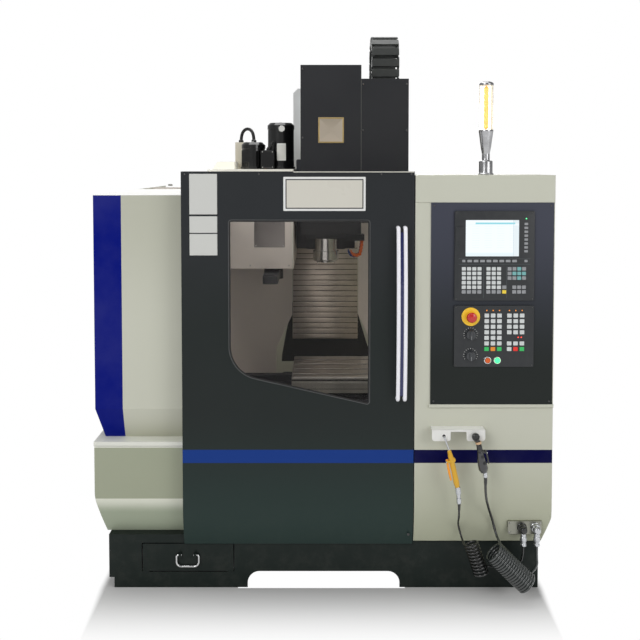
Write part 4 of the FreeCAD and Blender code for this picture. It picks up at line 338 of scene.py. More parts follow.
def plastic(name, base, rough=0.38, grain=2600.0, strength=0.25, glow=0.0, glow_colour=None, coat=0.0,
            upper=None):
    """Moulded plastic, rubber or gloss enamel; glow makes it give off light, a lamp's own light on the
    lamps and lit caps and painted light on parts that are no lamps; upper is (height, colour) of another
    tone above that height."""
    made, tree, shader = material(name)
    if tree is None:
        return made
    skin = use(tree, moulded_skin(), Grain=grain)
    edges = use(tree, edge_wear(), Radius=0.0008)
    if upper:
        mask = use(tree, painted_band(), Axis=(0.0, 0.0, 1.0), Low=upper[0], High=9.0)["Mask"]
        base = mix(tree, mask, base, shade(upper[1]))
    tone = mix(tree, maths(tree, "MULTIPLY", skin["Marks"], 0.025), base, shade("9a9a98"))
    tone = mix(tree, maths(tree, "MULTIPLY", edges["Mask"], 0.15), tone, shade("c9c9c6"))
    join(tree, tone, shader, "Base Color")
    join(tree, maths(tree, "MULTIPLY_ADD", skin["Marks"], 0.12, rough - 0.04), shader, "Roughness")
    shader.inputs["Coat Weight"].default_value = coat
    bump = put(tree, "ShaderNodeBump", Strength=strength, Distance=0.00006, Height=skin["Height"],
               Normal=edges["Normal"])
    join(tree, bump.outputs[0], shader, "Normal")
    if glow:
        level = mix(tree, skin["Marks"], glow_colour or base, tone)
        join(tree, level, shader, "Emission Color")
        shader.inputs["Emission Strength"].default_value = glow
    return made


def clear(name, base, rough=0.03, weight=0.92):
    """Clear sheet or tube, with a faint film that roughens it in places. Rays from the lamps
    pass straight through, tinted by the sheet, so that what stands behind it is lit."""
    made, tree, shader = material(name)
    if tree is None:
        return made
    film = between(tree, noise(tree, place(tree), 5.0, 6.0, 0.6), 0.4, 0.8)
    join(tree, mix(tree, maths(tree, "MULTIPLY", film, 0.06), base, shade("c9cdc9")), shader, "Base Color")
    join(tree, maths(tree, "MULTIPLY_ADD", film, 0.05, rough), shader, "Roughness")
    shader.inputs["Transmission Weight"].default_value = weight
    shader.inputs["IOR"].default_value = 1.12
    path = put(tree, "ShaderNodeLightPath").outputs
    passing = put(tree, "ShaderNodeBsdfTransparent", Color=base)
    blend = put(tree, "ShaderNodeMixShader",
                at=[path["Is Shadow Ray"], shader.outputs[0], passing.outputs[0]])
    tree.links.new(blend.outputs[0], tree.nodes["Material Output"].inputs["Surface"])
    return made


# ---------------------------------------------------------------- shapes
# A shape is (points, quads, finish number): arrays of places in metres and of four corner
# numbers. Sizes are given in millimetres.
def grid_faces(rows, columns, closed):
    """Quads of a grid of points; closed joins the last column to the first."""
    row, column = np.meshgrid(np.arange(rows - 1), np.arange(columns if closed else columns - 1),
                              indexing="ij")
    after = (column + 1) % columns
    quads = [row * columns + column, row * columns + after, (row + 1) * columns + after,
             (row + 1) * columns + column]
    return np.stack(quads, -1).reshape(-1, 4)


def rounded_rectangle(width, height, radius, steps=4):
    """Corners as quarter circles: each stands at its own centre, a radius in from both sides."""
    radius = min(radius, width / 2 - 1e-3, height / 2 - 1e-3)
    turn = np.linspace(0, math.pi / 2, steps + 1)
    quarter = np.arange(4)[:, None] * math.pi / 2 + turn
    side_u = np.array([1, -1, -1, 1])[:, None]
    side_v = np.array([1, 1, -1, -1])[:, None]
    u = side_u * (width / 2 - radius) + radius * np.cos(quarter)
    v = side_v * (height / 2 - radius) + radius * np.sin(quarter)
    return np.stack([u.ravel(), v.ravel()], -1)


def slab(centre, width, height, depth, radius=2.0, edge=0.5, face=FRONT, finish=0, dish=0.0, steps=4):
    """A plate standing out of the plane through centre: its outline is carried outward, drawn in
    by the edge's quarter circle at the top, and closed to the middle, sunk there by dish."""
    line = rounded_rectangle(width, height, radius, steps)
    half = np.array([width / 2, height / 2])
    rise = np.linspace(0, math.pi / 2, 4)
    inset = np.concatenate([[0.0], edge * (1 - np.cos(rise))])
    level = np.concatenate([[0.0], depth - edge + edge * np.sin(rise)])
    rings = [line * ((half - i) / half) for i in inset]
    hold = 1 - min(0.3, 1.0 / half.min())
    rings += [rings[-1] * hold, rings[-1] * hold * 0.72, rings[-1] * 0.0]
    level = np.concatenate([level, [depth, depth - dish * 0.8, depth - dish]])
    rings = [line * 0.0] + rings
    level = np.concatenate([[0.0], level])
    flat = np.stack(rings)
    points = flat[..., :1] * face[0] + flat[..., 1:] * face[1] + level[:, None, None] * face[2]
    quads = grid_faces(len(rings), len(line), True)
    return (points.reshape(-1, 3) + np.array(centre)) * MM, quads, finish


def side_vectors(axis):
    axis = np.array(axis, float) / np.linalg.norm(axis)
    helper = np.array([0, 0, 1.0]) if abs(axis[2]) < 0.9 else np.array([1.0, 0, 0])
    first = np.cross(helper, axis)
    first /= np.linalg.norm(first)
    return axis, first, np.cross(axis, first)


def lathe(profile, centre, axis=(0, 0, 1), sides=40, finish=0, ripple=None):
    """A profile of (radius, height) corners carried round the axis through centre. ripple(angle,
    row) scales the radius, so a knurl or fins are a wave of the angle."""
    profile = np.array(profile, float)
    axis, first, second = side_vectors(axis)
    angle = np.arange(sides) * 2 * math.pi / sides
    radius = np.repeat(profile[:, :1], sides, 1)
    if ripple:
        radius = radius * ripple(angle[None, :], np.arange(len(profile))[:, None])
    ring = np.cos(angle)[:, None] * first + np.sin(angle)[:, None] * second
    points = radius[..., None] * ring + profile[:, 1, None, None] * axis
    return (points.reshape(-1, 3) + np.array(centre)) * MM, grid_faces(len(profile), sides, True), finish


def round_edges(profile, radius, steps=3):
    """Cuts each inner corner of an open line of corners to a short curve (quadratic)."""
    profile = np.array(profile, float)
    if len(profile) < 3:
        return profile
    before = profile[:-2] - profile[1:-1]
    after = profile[2:] - profile[1:-1]
    size = np.minimum(np.linalg.norm(before, axis=1), np.linalg.norm(after, axis=1))
    reach = np.minimum(radius, 0.45 * size)[:, None]
    start = profile[1:-1] + before / np.linalg.norm(before, axis=1)[:, None] * reach
    end = profile[1:-1] + after / np.linalg.norm(after, axis=1)[:, None] * reach
    t = np.linspace(0, 1, steps + 1)[None, :, None]
    curve = (1 - t) ** 2 * start[:, None] + 2 * t * (1 - t) * profile[1:-1, None] + t ** 2 * end[:, None]
    return np.concatenate([profile[:1], curve.reshape(-1, profile.shape[1]), profile[-1:]])


def carried(path, section, finish=0, sizes_along=None):
    """A closed section (u, v) carried along a path: each place has a frame that is turned as
    little as possible from the one before, and both ends close to the path's own points."""
    path = np.array(path, float)
    section = np.array(section, float)
    heading = np.gradient(path, axis=0)
    heading /= np.linalg.norm(heading, axis=1)[:, None]
    first = side_vectors(heading[0])[1]
    sides = []
    for direction in heading:
        first = first - direction * first.dot(direction)
        first = first / np.linalg.norm(first)
        sides.append((first, np.cross(direction, first)))
    sides = np.array(sides)
    scale = np.ones(len(path)) if sizes_along is None else np.array(sizes_along, float)
    body = section[None, :, :1] * sides[:, None, 0] + section[None, :, 1:] * sides[:, None, 1]
    points = path[:, None] + body * scale[:, None, None]
    caps = [np.repeat(path[end][None, None], len(section), 1) for end in (0, -1)]
    points = np.concatenate([caps[0], points, caps[1]])
    return points.reshape(-1, 3) * MM, grid_faces(len(points), len(section), True), finish


def circle(radius, sides=12):
    angle = np.arange(sides) * 2 * math.pi / sides
    return np.stack([np.cos(angle), np.sin(angle)], -1) * radius


def screw(centre, radius=4.5, face=FRONT, finish=0):
    """Button-head socket screw: a low dome carried round its axis, with a hexagonal pit whose
    wall is the flat-sided wave of the angle."""
    profile = [(0, 0), (radius, 0), (radius, 0.35 * radius), (0.92 * radius, 0.55 * radius),
               (0.7 * radius, 0.72 * radius), (0.5 * radius, 0.75 * radius), (0.46 * radius, 0.7 * radius),
               (0.44 * radius, 0.25 * radius), (0, 0.2 * radius)]

    def hexagon(angle, row):
        flat = math.cos(math.pi / 6) / np.cos((angle % (math.pi / 3)) - math.pi / 6)
        return np.where(row >= 6, flat, 1.0)

    return lathe(profile, centre, face[2], 18, finish, hexagon)


def build(name, shapes, finishes, body, smooth=40.0, replaces=()):
    """Puts shapes into one mesh object: points and quads as whole arrays, welded at seams and
    poles, faces outward, smooth up to an angle."""
    counts = np.cumsum([0] + [len(s[0]) for s in shapes])
    points = np.concatenate([s[0] for s in shapes])
    quads = np.concatenate([s[1] + start for s, start in zip(shapes, counts)])
    which = np.concatenate([np.full(len(s[1]), s[2]) for s in shapes])
    mesh = bpy.data.meshes.new(name)
    mesh.from_pydata(points.tolist(), [], quads.tolist())
    mesh.polygons.foreach_set("material_index", which.astype(np.int32))
    work = bmesh.new()
    work.from_mesh(mesh)
    bmesh.ops.remove_doubles(work, verts=work.verts, dist=WELD_DISTANCE)
    bmesh.ops.recalc_face_normals(work, faces=work.faces)
    work.to_mesh(mesh)
    work.free()
    for finish in finishes:
        mesh.materials.append(finish)
    mesh.shade_smooth()
    mesh.set_sharp_from_angle(angle=math.radians(smooth))
    made = bpy.data.objects.new(name, mesh)
    bpy.context.scene.collection.objects.link(made)
    if replaces:
        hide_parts(*replaces)
    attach(made, body)
    return made


def dress(finish, *nodes):
    """Gives each CAD node one finish."""
    for node in nodes:
        mesh = NODES[node].data
        mesh.materials.clear()
        mesh.materials.append(finish)


class Build(bpy.types.Operator):
    """Base of the operators: it fails loudly, because a cancelled one would go unseen."""
    bl_options = {"REGISTER", "UNDO"}

    def execute(self, context):
        self.make()
        return {"FINISHED"}


# ---------------------------------------------------------------- the finishes of this machine
X_AXIS = (1.0, 0.0, 0.0)
Z_AXIS = (0.0, 0.0, 1.0)


def stripe(colour_value):
    return (Z_AXIS, sizes().stripe_low, sizes().stripe_high, colour_value)


DARK_SHEET = {"rough": 0.42, "grain": 700.0, "depth": 0.00022, "wear": "6c6f70", "mottle": 0.05,
              "shine": 0.25}
CREAM_SHEET = {"rough": 0.40, "grain": 950.0, "depth": 0.00014, "wear": "f4f3ee"}


def dark_paint():
    return painted("dark paint", paint().dark, dust=0.02, **DARK_SHEET)


def cover_paint():
    return painted("cover paint", shade("2a2b2e"), **DARK_SHEET)


def door_paint():
    # The door has one paint; its tones are painted light and shade: darker from 1.45 m down to 1 m and
    # below, and greener towards the floor.
    return painted("door paint", paint().dark, bands=[stripe(paint().blue)], dust=0.03,
                   painted_light_tones=[(1.0, 1.45, "1b2221"), (0.2, 0.75, "223531")], **DARK_SHEET)


def base_paint():
    return painted("base paint", paint().base, 0.45, 800.0, 0.00016, dust=0.05, wear="5c6060", mottle=0.04,
                   shine=0.2)


def cream_paint():
    return painted("cream paint", paint().cream, dust=0.10, **CREAM_SHEET)


def low_cream_paint():
    # Painted light: the pale band from 0.553 m to 0.64 m is a painted highlight on the sloped top, and the
    # tones paint a reflection in the bend, pale under a hard edge at 0.349 m and fading down to 0.29 m.
    return painted("lower cream paint", shade("abb099"), 0.42, 950.0, 0.00014, dust=0.1, wear="e4e3da",
                   bands=[(Z_AXIS, 0.553, 0.64, shade("f1f2e8"))],
                   painted_light_tones=[(0.3475, 0.349, "e9ebdc"), (0.290, 0.346, "a9b29c")])


def left_paint():
    band = (X_AXIS, -1.0, sizes().left_stripe, paint().side_blue)
    # Painted light on the one cream paint: the tones make the panel darker towards its top and again below
    # 0.54 m, and the near-white band above 1.5525 m is a painted highlight on its top.
    return painted("cream and blue paint", shade("c6c7b7"), shine=0.08,
                   bands=[band, (Z_AXIS, 1.5525, 2.0, shade("fcfcf9"))],
                   painted_light_tones=[(1.0, 1.56, "d6d7c8"), (0.54, 0.70, "b6b7a5")], **CREAM_SHEET)


def right_paint():
    # The tone is painted shade: the cabinet is darker from 0.70 m down to 0.12 m and below.
    return painted("cabinet paint", paint().cream, bands=[stripe(paint().navy)], dust=0.14, shine=0.06,
                   painted_light_tones=[(0.12, 0.70, "b9bca4")], **CREAM_SHEET)


def inside_paint():
    # The cabin grey is written paler than the walls are, as painted light for the dim cabin.
    return painted("cabin grey paint", paint().inside, 0.5, 900.0, 0.00012, wear="e4e2da",
                   bands=[(Z_AXIS, 1.64, 2.0, shade("fbf9ee"))])


def column_paint():
    return painted("casting paint", shade("e0e2e2"), 0.48, 300.0, 0.0005, wear="d8d8d4")


def casting():
    return painted("dark casting", shade("33353a"), 0.5, 240.0, 0.0007, dust=0.05, wear="7c7c7a",
                   mottle=0.1)


def enamel():
    return painted("black enamel", shade("0b0c0d"), 0.2, 500.0, 0.00012, wear="606062", coat=0.8,
                   mottle=0.03)


def white_coat():
    return painted("white powder coat", shade("f6f6f2"), 0.42, 1300.0, 0.0001, wear="ffffff")


def ground_steel():
    return metal("ground steel", shade("dcd7d1"), 0.30, (900.0, 26.0, 900.0))


def slat_steel():
    return metal("slat steel", shade("cfc3b7"), 0.40, (22.0, 900.0, 900.0), 0.3, "5b5448", 0.3)


def shadow_black():
    # Near-black for the shade in gaps and slots: painted shadow.
    return plastic("painted shadow black", shade("17140f"), 0.7)


def seam_grey():
    return plastic("seam grey", shade("6b6c66"), 0.5)


def glossy_black():
    return plastic("glossy black", shade("141617"), 0.2, coat=0.5)


def painted_highlight_edge():
    # A pale strip that stands for light along an edge: painted highlight.
    return painted("painted highlight strip", shade("e9e7dc"), 0.4)


def turned_steel():
    return metal("turned steel", shade("bdbdbc"), 0.22, (60.0, 60.0, 1400.0), 0.2)


def polished():
    return metal("polished chrome", shade("d6d7d8"), 0.08, (200.0, 200.0, 200.0), 0.04, "8c8f92", 0.12)


def satin():
    return metal("satin aluminium", shade("c4c7cb"), 0.26, (900.0, 900.0, 16.0), 0.15, "85898e", 0.12)


def black_steel():
    return metal("blackened screw", shade("3c3c3e"), 0.34, (300.0, 300.0, 300.0), 0.1)


def zinc_screw():
    return metal("zinc screw", shade("b9bab6"), 0.30, (300.0, 300.0, 300.0), 0.1)


def black_plastic():
    return plastic("black plastic", shade("1b1c1e"), 0.42)


def bezel_plastic():
    return plastic("bezel plastic", shade("24272a"), 0.42, 1500.0, 0.35)


def panel_paint():
    # The tone is painted light: the plate is paler and bluer at the top and darker from 1.50 m down to 0.85
    # m and below.
    return painted("control plate paint", shade("424552"), 0.42, 900.0, 0.00012, wear="6c6f70", mottle=0.04,
                   shine=0.25, painted_light_tones=[(0.85, 1.50, "181e1c")])


def chain_plastic():
    return plastic("chain plastic", shade("2d302e"), 0.44, 1800.0, 0.3)


def folded_rubber():
    return plastic("folded rubber", shade("121213"), 0.62, 1200.0, 0.4)


# ---------------------------------------------------------------- cords
# Routes and curls as part.py has them, in millimetres.
GUN_Y = -961.0
AIR_GUN_END = (525.0, GUN_Y, 358.0)
WATER_GUN_END = (625.0, GUN_Y, 456.0)
AIR_COIL = ((572, -954, 226), (612, -954, 108), 26.0, 9.5, -1)
WATER_COIL = ((655, -970, 200), (786, -970, 74), 39.0, 16.75, 1)
AIR_RUN = 54.0
WATER_RUN = 68.0
AIR_LEAD = [AIR_GUN_END, (525.0, GUN_Y, 326.0), (530.0, -899.0, 278.0)]
AIR_TAIL = [(702.0, -898.0, 98.0), (758.0, -900.0, 104.0), (780.0, -926.0, 148.0), (780.0, -926.0, 202.0)]
WATER_LEAD = [WATER_GUN_END, (625.0, GUN_Y, 414.0), (643.0, -930.0, 352.0), (664.0, -903.0, 296.0)]
WATER_TAIL = [(832.0, -926.0, 152.0), (832.0, -926.0, 202.0)]
CONDUIT_POINTS = [
    (-409.0, 150.0, 1788.0), (-409.0, 150.0, 1826.0), (-388.0, 129.5, 1855.0), (-359.0, 100.5, 1855.0),
    (-338.0, 80.0, 1826.0), (-338.0, 80.0, 1785.0),
]
CURL_POINTS = 12


def curl_points(coil):
    """Control points of the curls: places on a circle a little wider than the hose's own line,
    carried evenly along the axis, the turn counted from a quarter before -Y; and the two
    headings at its ends."""
    start, end, radius, curls, hand = coil
    start, end = np.array(start, float), np.array(end, float)
    span = end - start
    along = span / np.linalg.norm(span)
    across = np.array([0, -1.0, 0]) - along * -along[1]
    across /= np.linalg.norm(across)
    third = np.cross(along, across) * hand
    count = round(curls * CURL_POINTS)
    turn = np.arange(count + 1) * curls / count
    angle = 2 * math.pi * (turn - 0.25)[:, None]
    wide = radius / math.cos(math.pi / CURL_POINTS) ** 0.5
    line = start + span * turn[:, None] / curls + (across * np.cos(angle) + third * np.sin(angle)) * wide
    heading = span / (2 * math.pi * radius * curls) + third * np.cos(angle) - across * np.sin(angle)
    heading /= np.linalg.norm(heading, axis=1)[:, None]
    return line, heading[0], heading[-1]


def cord_curve(name, points, diameter, finish, node):
    """A hose as one NURBS line with the route's points as its control points."""
    curve = bpy.data.curves.new(name, "CURVE")
    curve.dimensions = "3D"
    spline = curve.splines.new("NURBS")
    spline.points.add(len(points) - 1)
    flat = np.concatenate([np.array(points, float) * MM, np.ones((len(points), 1))], axis=1)
    spline.points.foreach_set("co", flat.ravel())
    spline.order_u = 3
    spline.use_endpoint_u = True
    spline.resolution_u = 3
    curve.bevel_depth = diameter / 2
    curve.bevel_resolution = 4
    curve.use_fill_caps = True
    curve.materials.append(finish)
    made = bpy.data.objects.new(name, curve)
    bpy.context.scene.collection.objects.link(made)
    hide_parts(node)
    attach(made, "machine")
    return made


def cord_length(made):
    """The length of the curve's own line, measured on a copy with no thickness."""
    bare = made.copy()
    bare.data = made.data.copy()
    bare.data.bevel_depth = 0.0
    bpy.context.scene.collection.objects.link(bare)
    bpy.context.view_layer.update()
    mesh = bpy.data.meshes.new_from_object(bare.evaluated_get(bpy.context.evaluated_depsgraph_get()))
    line = np.zeros(len(mesh.vertices) * 3)
    mesh.vertices.foreach_get("co", line)
    line = line.reshape(-1, 3)
    bpy.data.meshes.remove(mesh)
    bpy.data.objects.remove(bare)
    return float(np.linalg.norm(np.diff(line, axis=0), axis=1).sum())


def whole_hose(lead, coil, tail, run):
    line, first, last = curl_points(coil)
    return list(lead) + [line[0] - first * run] + list(line) + [line[-1] + last * run] + list(tail)


def hose_rubber():
    return plastic("black hose", shade("08090a"), 0.2, 2600.0, 0.1, coat=0.6)


def hose_with_painted_sheen():
    # One black hose: its coil below 0.25 m is written grey as a painted sheen; above, on the straight lead,
    # it is black.
    return plastic("hose grey as painted sheen", shade("2d3332"), 0.14, 2600.0, 0.1, coat=0.9, upper=(0.25, "060707"))


class MakeHoses(Build):
    """The two curly hoses of the wash-down guns and the conduit between the motors."""
    bl_idname = "machine.hoses"
    bl_label = "Hoses and conduit"

    def make(self):
        air = cord_curve("air_hose_line", whole_hose(AIR_LEAD, AIR_COIL, AIR_TAIL, AIR_RUN),
                         sizes().air_hose, hose_rubber(), "air_hose")
        water = cord_curve("water_hose_line", whole_hose(WATER_LEAD, WATER_COIL, WATER_TAIL, WATER_RUN),
                           sizes().water_hose, hose_with_painted_sheen(), "water_hose")
        conduit = cord_curve("conduit_line", CONDUIT_POINTS, sizes().conduit, folded_rubber(),
                             "motor_conduit")
        for made, points, diameter in ((air, AIR_LEAD, sizes().air_hose),
                                       (water, WATER_LEAD, sizes().water_hose),
                                       (conduit, CONDUIT_POINTS, sizes().conduit)):
            cord_length(made)


# ---------------------------------------------------------------- CAD nodes that keep their shape
class DressCabin(Build):
    """Paint of the sheet-metal cabin, base and cabinets."""
    bl_idname = "machine.cabin"
    bl_label = "Cabin paint"

    def make(self):
        dress(base_paint(), "base_skirt", "chip_drawer")
        dress(door_paint(), "door")
        dress(dark_paint(), "door_header")
        dress(cover_paint(), "head_cover", "chain_trough")
        dress(left_paint(), "left_panel")
        dress(cream_paint(), "side_panels", "rear_cabinet", "rear_door")
        dress(low_cream_paint(), "front_lower_panel")
        dress(right_paint(), "right_cabinet")
        dress(inside_paint(), "atc_cover", "back_wall", "chip_pan")
        dress(panel_paint(), "control_plate")


class DressMachine(Build):
    """Castings, slides, spindle and drives."""
    bl_idname = "machine.castings"
    bl_label = "Castings and steel"

    def make(self):
        dress(column_paint(), "column")
        dress(casting(), "bed", "saddle", "atc_arm")
        dress(ground_steel(), "table")
        dress(turned_steel(), "spindle_cartridge", "spindle", "arm_sleeve", "levelling_feet")
        dress(enamel(), "axis_motors", "x_motor", "spindle_motor", "atc_drive")
        dress(satin(), "magazine_disc")
        dress(painted("box paint", shade("d9d3c2"), 0.4, wear="ffffff",
                      bands=[(X_AXIS, -0.305, 0.0, shade("0c0d0e"))]), "junction_box")


class DressFittings(Build):
    """Drawer handle, window pane and plate of the hose couplings."""
    bl_idname = "machine.fittings"
    bl_label = "Fittings"

    def make(self):
        dress(polished(), "drawer_handle")
        dress(clear("window pane", shade("f0edea"), weight=0.997), "door_window")
        dress(metal("plate metal", shade("8f9082"), 0.35, (900.0, 900.0, 30.0), 0.2), "coupling_plate")


# ---------------------------------------------------------------- places shared by the fine pieces
FACE_Y = -895.0             # door and right cabinet
PLATE_Y = -899.0            # plate of the operator panel
BEZEL_Y = -907.0            # both bezels
COVER_Y = -205.0            # head cover
CHANGER_Y = -250.0          # changer cover
SWITCH_X = 574.0            # stop mushroom and both override knobs
STOP_Z = 1089.0
NAME_PLATE = (11.5, 1561.0)
COVER_PLATE = (46.0, 1835.0)
SIDE_X = 900.0              # outer faces of the right and left side panels
REAR_Y = 950.0              # rear cabinet's door
SPINDLE = (22.0, -95.0)
PANEL_X = 663.5             # middle of both bezels
HANDLE_X = 307.0
KNOB_PLACES = {"spindle": 1020.0, "feed": 939.0}
BUTTON_Z = 920.0
BEACON = (660.0, -745.0)


def ring_plate(outer, inner, offset, depth, sink, edge=1.2, finish=0, centre=(0, 0, 0), face=FRONT,
               steps=4):
    """A bezel: the outer outline is carried out and rounded over, then over to the inner outline
    and down into the recess, whose floor closes to its middle."""
    out = rounded_rectangle(*outer, steps)
    hole = rounded_rectangle(*inner, steps) + np.array(offset)
    rise = np.linspace(0, math.pi / 2, 4)
    half = np.array([outer[0] / 2, outer[1] / 2])
    rings = [out * 0, out] + [out * ((half - edge * (1 - math.cos(a))) / half) for a in rise]
    level = [0, 0] + [depth - edge + edge * math.sin(a) for a in rise]
    rings += [hole, (hole - offset) * 0.985 + offset, (hole - offset) * 0.0 + offset]
    level += [depth, depth - sink, depth - sink]
    flat = np.stack(rings)
    points = flat[..., :1] * face[0] + flat[..., 1:] * face[1] + np.array(level)[:, None, None] * face[2]
    return (points.reshape(-1, 3) + np.array(centre)) * MM, grid_faces(len(rings), len(out), True), finish


def corner_screws(x0, x1, z0, z1, y, radius=4.0, finish=0, face=FRONT):
    return [screw((x, y, z), radius, face, finish) for x in (x0, x1) for z in (z0, z1)]


def arc_corners(corners, steps=8):
    """A closed line through corners (u, v, radius): each is rounded by a quadratic curve that
    leaves its two sides where a circle of that radius would."""
    corners = np.array(corners, float)
    here = corners[:, :2]
    before = np.roll(here, 1, 0) - here
    after = np.roll(here, -1, 0) - here
    before /= np.linalg.norm(before, axis=1)[:, None]
    after /= np.linalg.norm(after, axis=1)[:, None]
    half = np.arccos(np.clip((before * after).sum(1), -1, 1)) / 2
    reach = (corners[:, 2] / np.tan(half))[:, None]
    t = np.linspace(0, 1, steps + 1)[None, :, None]
    start, end = (here + before * reach)[:, None], (here + after * reach)[:, None]
    middle = here[:, None]
    weight = np.sin(half)[:, None, None]
    top = (1 - t) ** 2 * start + 2 * weight * t * (1 - t) * middle + t ** 2 * end
    return (top / ((1 - t) ** 2 + 2 * weight * t * (1 - t) + t ** 2)).reshape(-1, 2)


def closed_loop(line, section, normal_axis, finish=0):
    """A section (sideways, outward) carried round a closed flat line in the XZ plane: sideways
    is across the line, outward is along normal_axis."""
    line = np.array(line, float)
    heading = np.roll(line, -1, 0) - np.roll(line, 1, 0)
    heading /= np.linalg.norm(heading, axis=1)[:, None]
    across = np.stack([heading[:, 1], np.zeros(len(line)), -heading[:, 0]], -1)
    base = np.stack([line[:, 0], np.zeros(len(line)), line[:, 1]], -1)
    section = np.array(section, float)
    outward = section[None, :, 1:] * np.array(normal_axis)
    points = base[:, None] + section[None, :, :1] * across[:, None] + outward
    count, sides = len(line), len(section)
    row, column = np.meshgrid(np.arange(count), np.arange(sides), indexing="ij")
    nrow, ncol = (row + 1) % count, (column + 1) % sides
    quads = np.stack([row * sides + column, row * sides + ncol, nrow * sides + ncol, nrow * sides + column],
                     -1)
    return points.reshape(-1, 3), quads.reshape(-1, 4), finish


WINDOW = [(-355.0, 1458.0, 8.0), (-355.0, 869.0, 126.0), (184.0, 746.0, 8.0), (184.0, 1458.0, 8.0)]


def at_y(shape, y):
    return (shape[0] + np.array([0, y, 0])) * MM, shape[1], shape[2]


class MakeDoorPieces(Build):
    """Window seal and trim, blank name plate, plain label fields and screws of the door."""
    bl_idname = "machine.door_pieces"
    bl_label = "Door pieces"

    def make(self):
        line = arc_corners(WINDOW, 10)
        seal = [(-4.5, 0.0), (-4.5, -1.6), (-3.0, -2.6), (0.0, -2.8), (1.2, -1.8), (1.4, 3.2), (-0.2, 3.2),
                (-0.2, 0.0)]
        lip = [(1.4, -0.6), (2.2, -1.2), (3.6, -1.0), (4.0, 0.5), (4.0, 3.0), (1.4, 3.0)]
        outward = (0, 1, 0)
        build("window_seal", [at_y(closed_loop(line, seal, outward), FACE_Y)], [folded_rubber()], "door")
        build("window_trim", [at_y(closed_loop(line, lip, outward), FACE_Y)],
              [metal("dark trim", shade("5a5d5f"), 0.4, (900.0, 900.0, 30.0), 0.2)], "door")
        x, z = NAME_PLATE
        build("name_plate", [
            slab((x, FACE_Y, z), 316, 131, 2.2, 3, 0.7),
            slab((x, FACE_Y - 2.1, z), 299, 114, 0.5, 1.5, 0.2, finish=1),
            slab((x, FACE_Y - 2.5, z), 291, 106, 0.6, 1.5, 0.3, finish=2),
        ], [painted("plate frame", shade("f2f3f1"), 0.25, 1500.0, 0.00004), black_plastic(),
            painted("plate cream", shade("dedbd0"), 0.3, 1500.0, 0.00005)], "door")
        fields = [(1560.0, 156.0), (1443.0, 64.0), (1365.5, 83.0)]
        build("label_fields", [slab((-454.0, FACE_Y, z), 107, h, 0.5, 2, 0.15) for z, h in fields],
              [painted("label film", shade("d9dad6"), 0.35, 1500.0, 0.00004)], "door")
        build("door_screws", [screw((340.0, FACE_Y + 9.0, 228.0), 5.0)] +
              [screw((x, FACE_Y, 1637.0), 3.5) for x in (-525.0, -240.0, 230.0, 345.0)],
              [black_steel()], "door")


# ---------------------------------------------------------------- operator panel
KEY_BLOCKS = [
    # left x, top z, columns, rows, pitch x, pitch z, key width, key height, finish rule
    (546.0, 1274.0, 4, 6, 20.0, 17.8, 15.5, 13.5, "letters"),
    (640.5, 1274.0, 3, 6, 20.3, 17.8, 15.5, 13.5, "numbers"),
    (701.5, 1203.0, 1, 2, 20.0, 17.8, 15.5, 13.5, "extra"),
    (721.5, 1274.0, 4, 3, 18.5, 17.8, 15.0, 13.5, "arrow"),
    (740.0, 1203.0, 3, 2, 18.5, 17.8, 15.0, 13.5, "grey"),
    (568.0, 1304.0, 8, 1, 24.6, 20.0, 18.0, 9.5, "soft"),
    (545.5, 1304.0, 1, 1, 20.0, 20.0, 12.0, 9.5, "soft"),
    (784.0, 1304.0, 1, 1, 20.0, 20.0, 12.0, 9.5, "soft"),
    (784.0, 1446.5, 1, 8, 20.0, 15.0, 14.0, 9.0, "soft"),
    (635.5, 1093.5, 3, 7, 24.4, 21.6, 17.5, 15.5, "machine"),
    (722.5, 1093.5, 3, 4, 24.4, 21.6, 17.5, 15.5, "machine"),
    (722.5, 985.5, 3, 2, 24.4, 21.6, 17.5, 15.5, "cycle"),
]
WHITE_KEY, GREY_KEY, TEAL_KEY, YELLOW_KEY, RED_KEY, GREEN_KEY, ORANGE_KEY = range(7)


def key_finish(rule, column, row, columns, rows):
    if rule in ("letters", "numbers") and row == rows - 1:
        return GREY_KEY
    if rule == "extra":
        return YELLOW_KEY if row else GREY_KEY
    if rule == "arrow":
        return TEAL_KEY if column == 2 or (row == 1 and column) else GREY_KEY
    if rule == "cycle":
        return [[WHITE_KEY, WHITE_KEY, WHITE_KEY], [WHITE_KEY, RED_KEY, GREEN_KEY]][row][column]
    if rule == "machine" and rows == 7 and row == rows - 1:
        return [GREEN_KEY, ORANGE_KEY, GREEN_KEY][column]
    return GREY_KEY if rule in ("grey", "soft") else WHITE_KEY


def key_material(name, text):
    return plastic(name, shade(text), 0.42, 1800.0, 0.2)


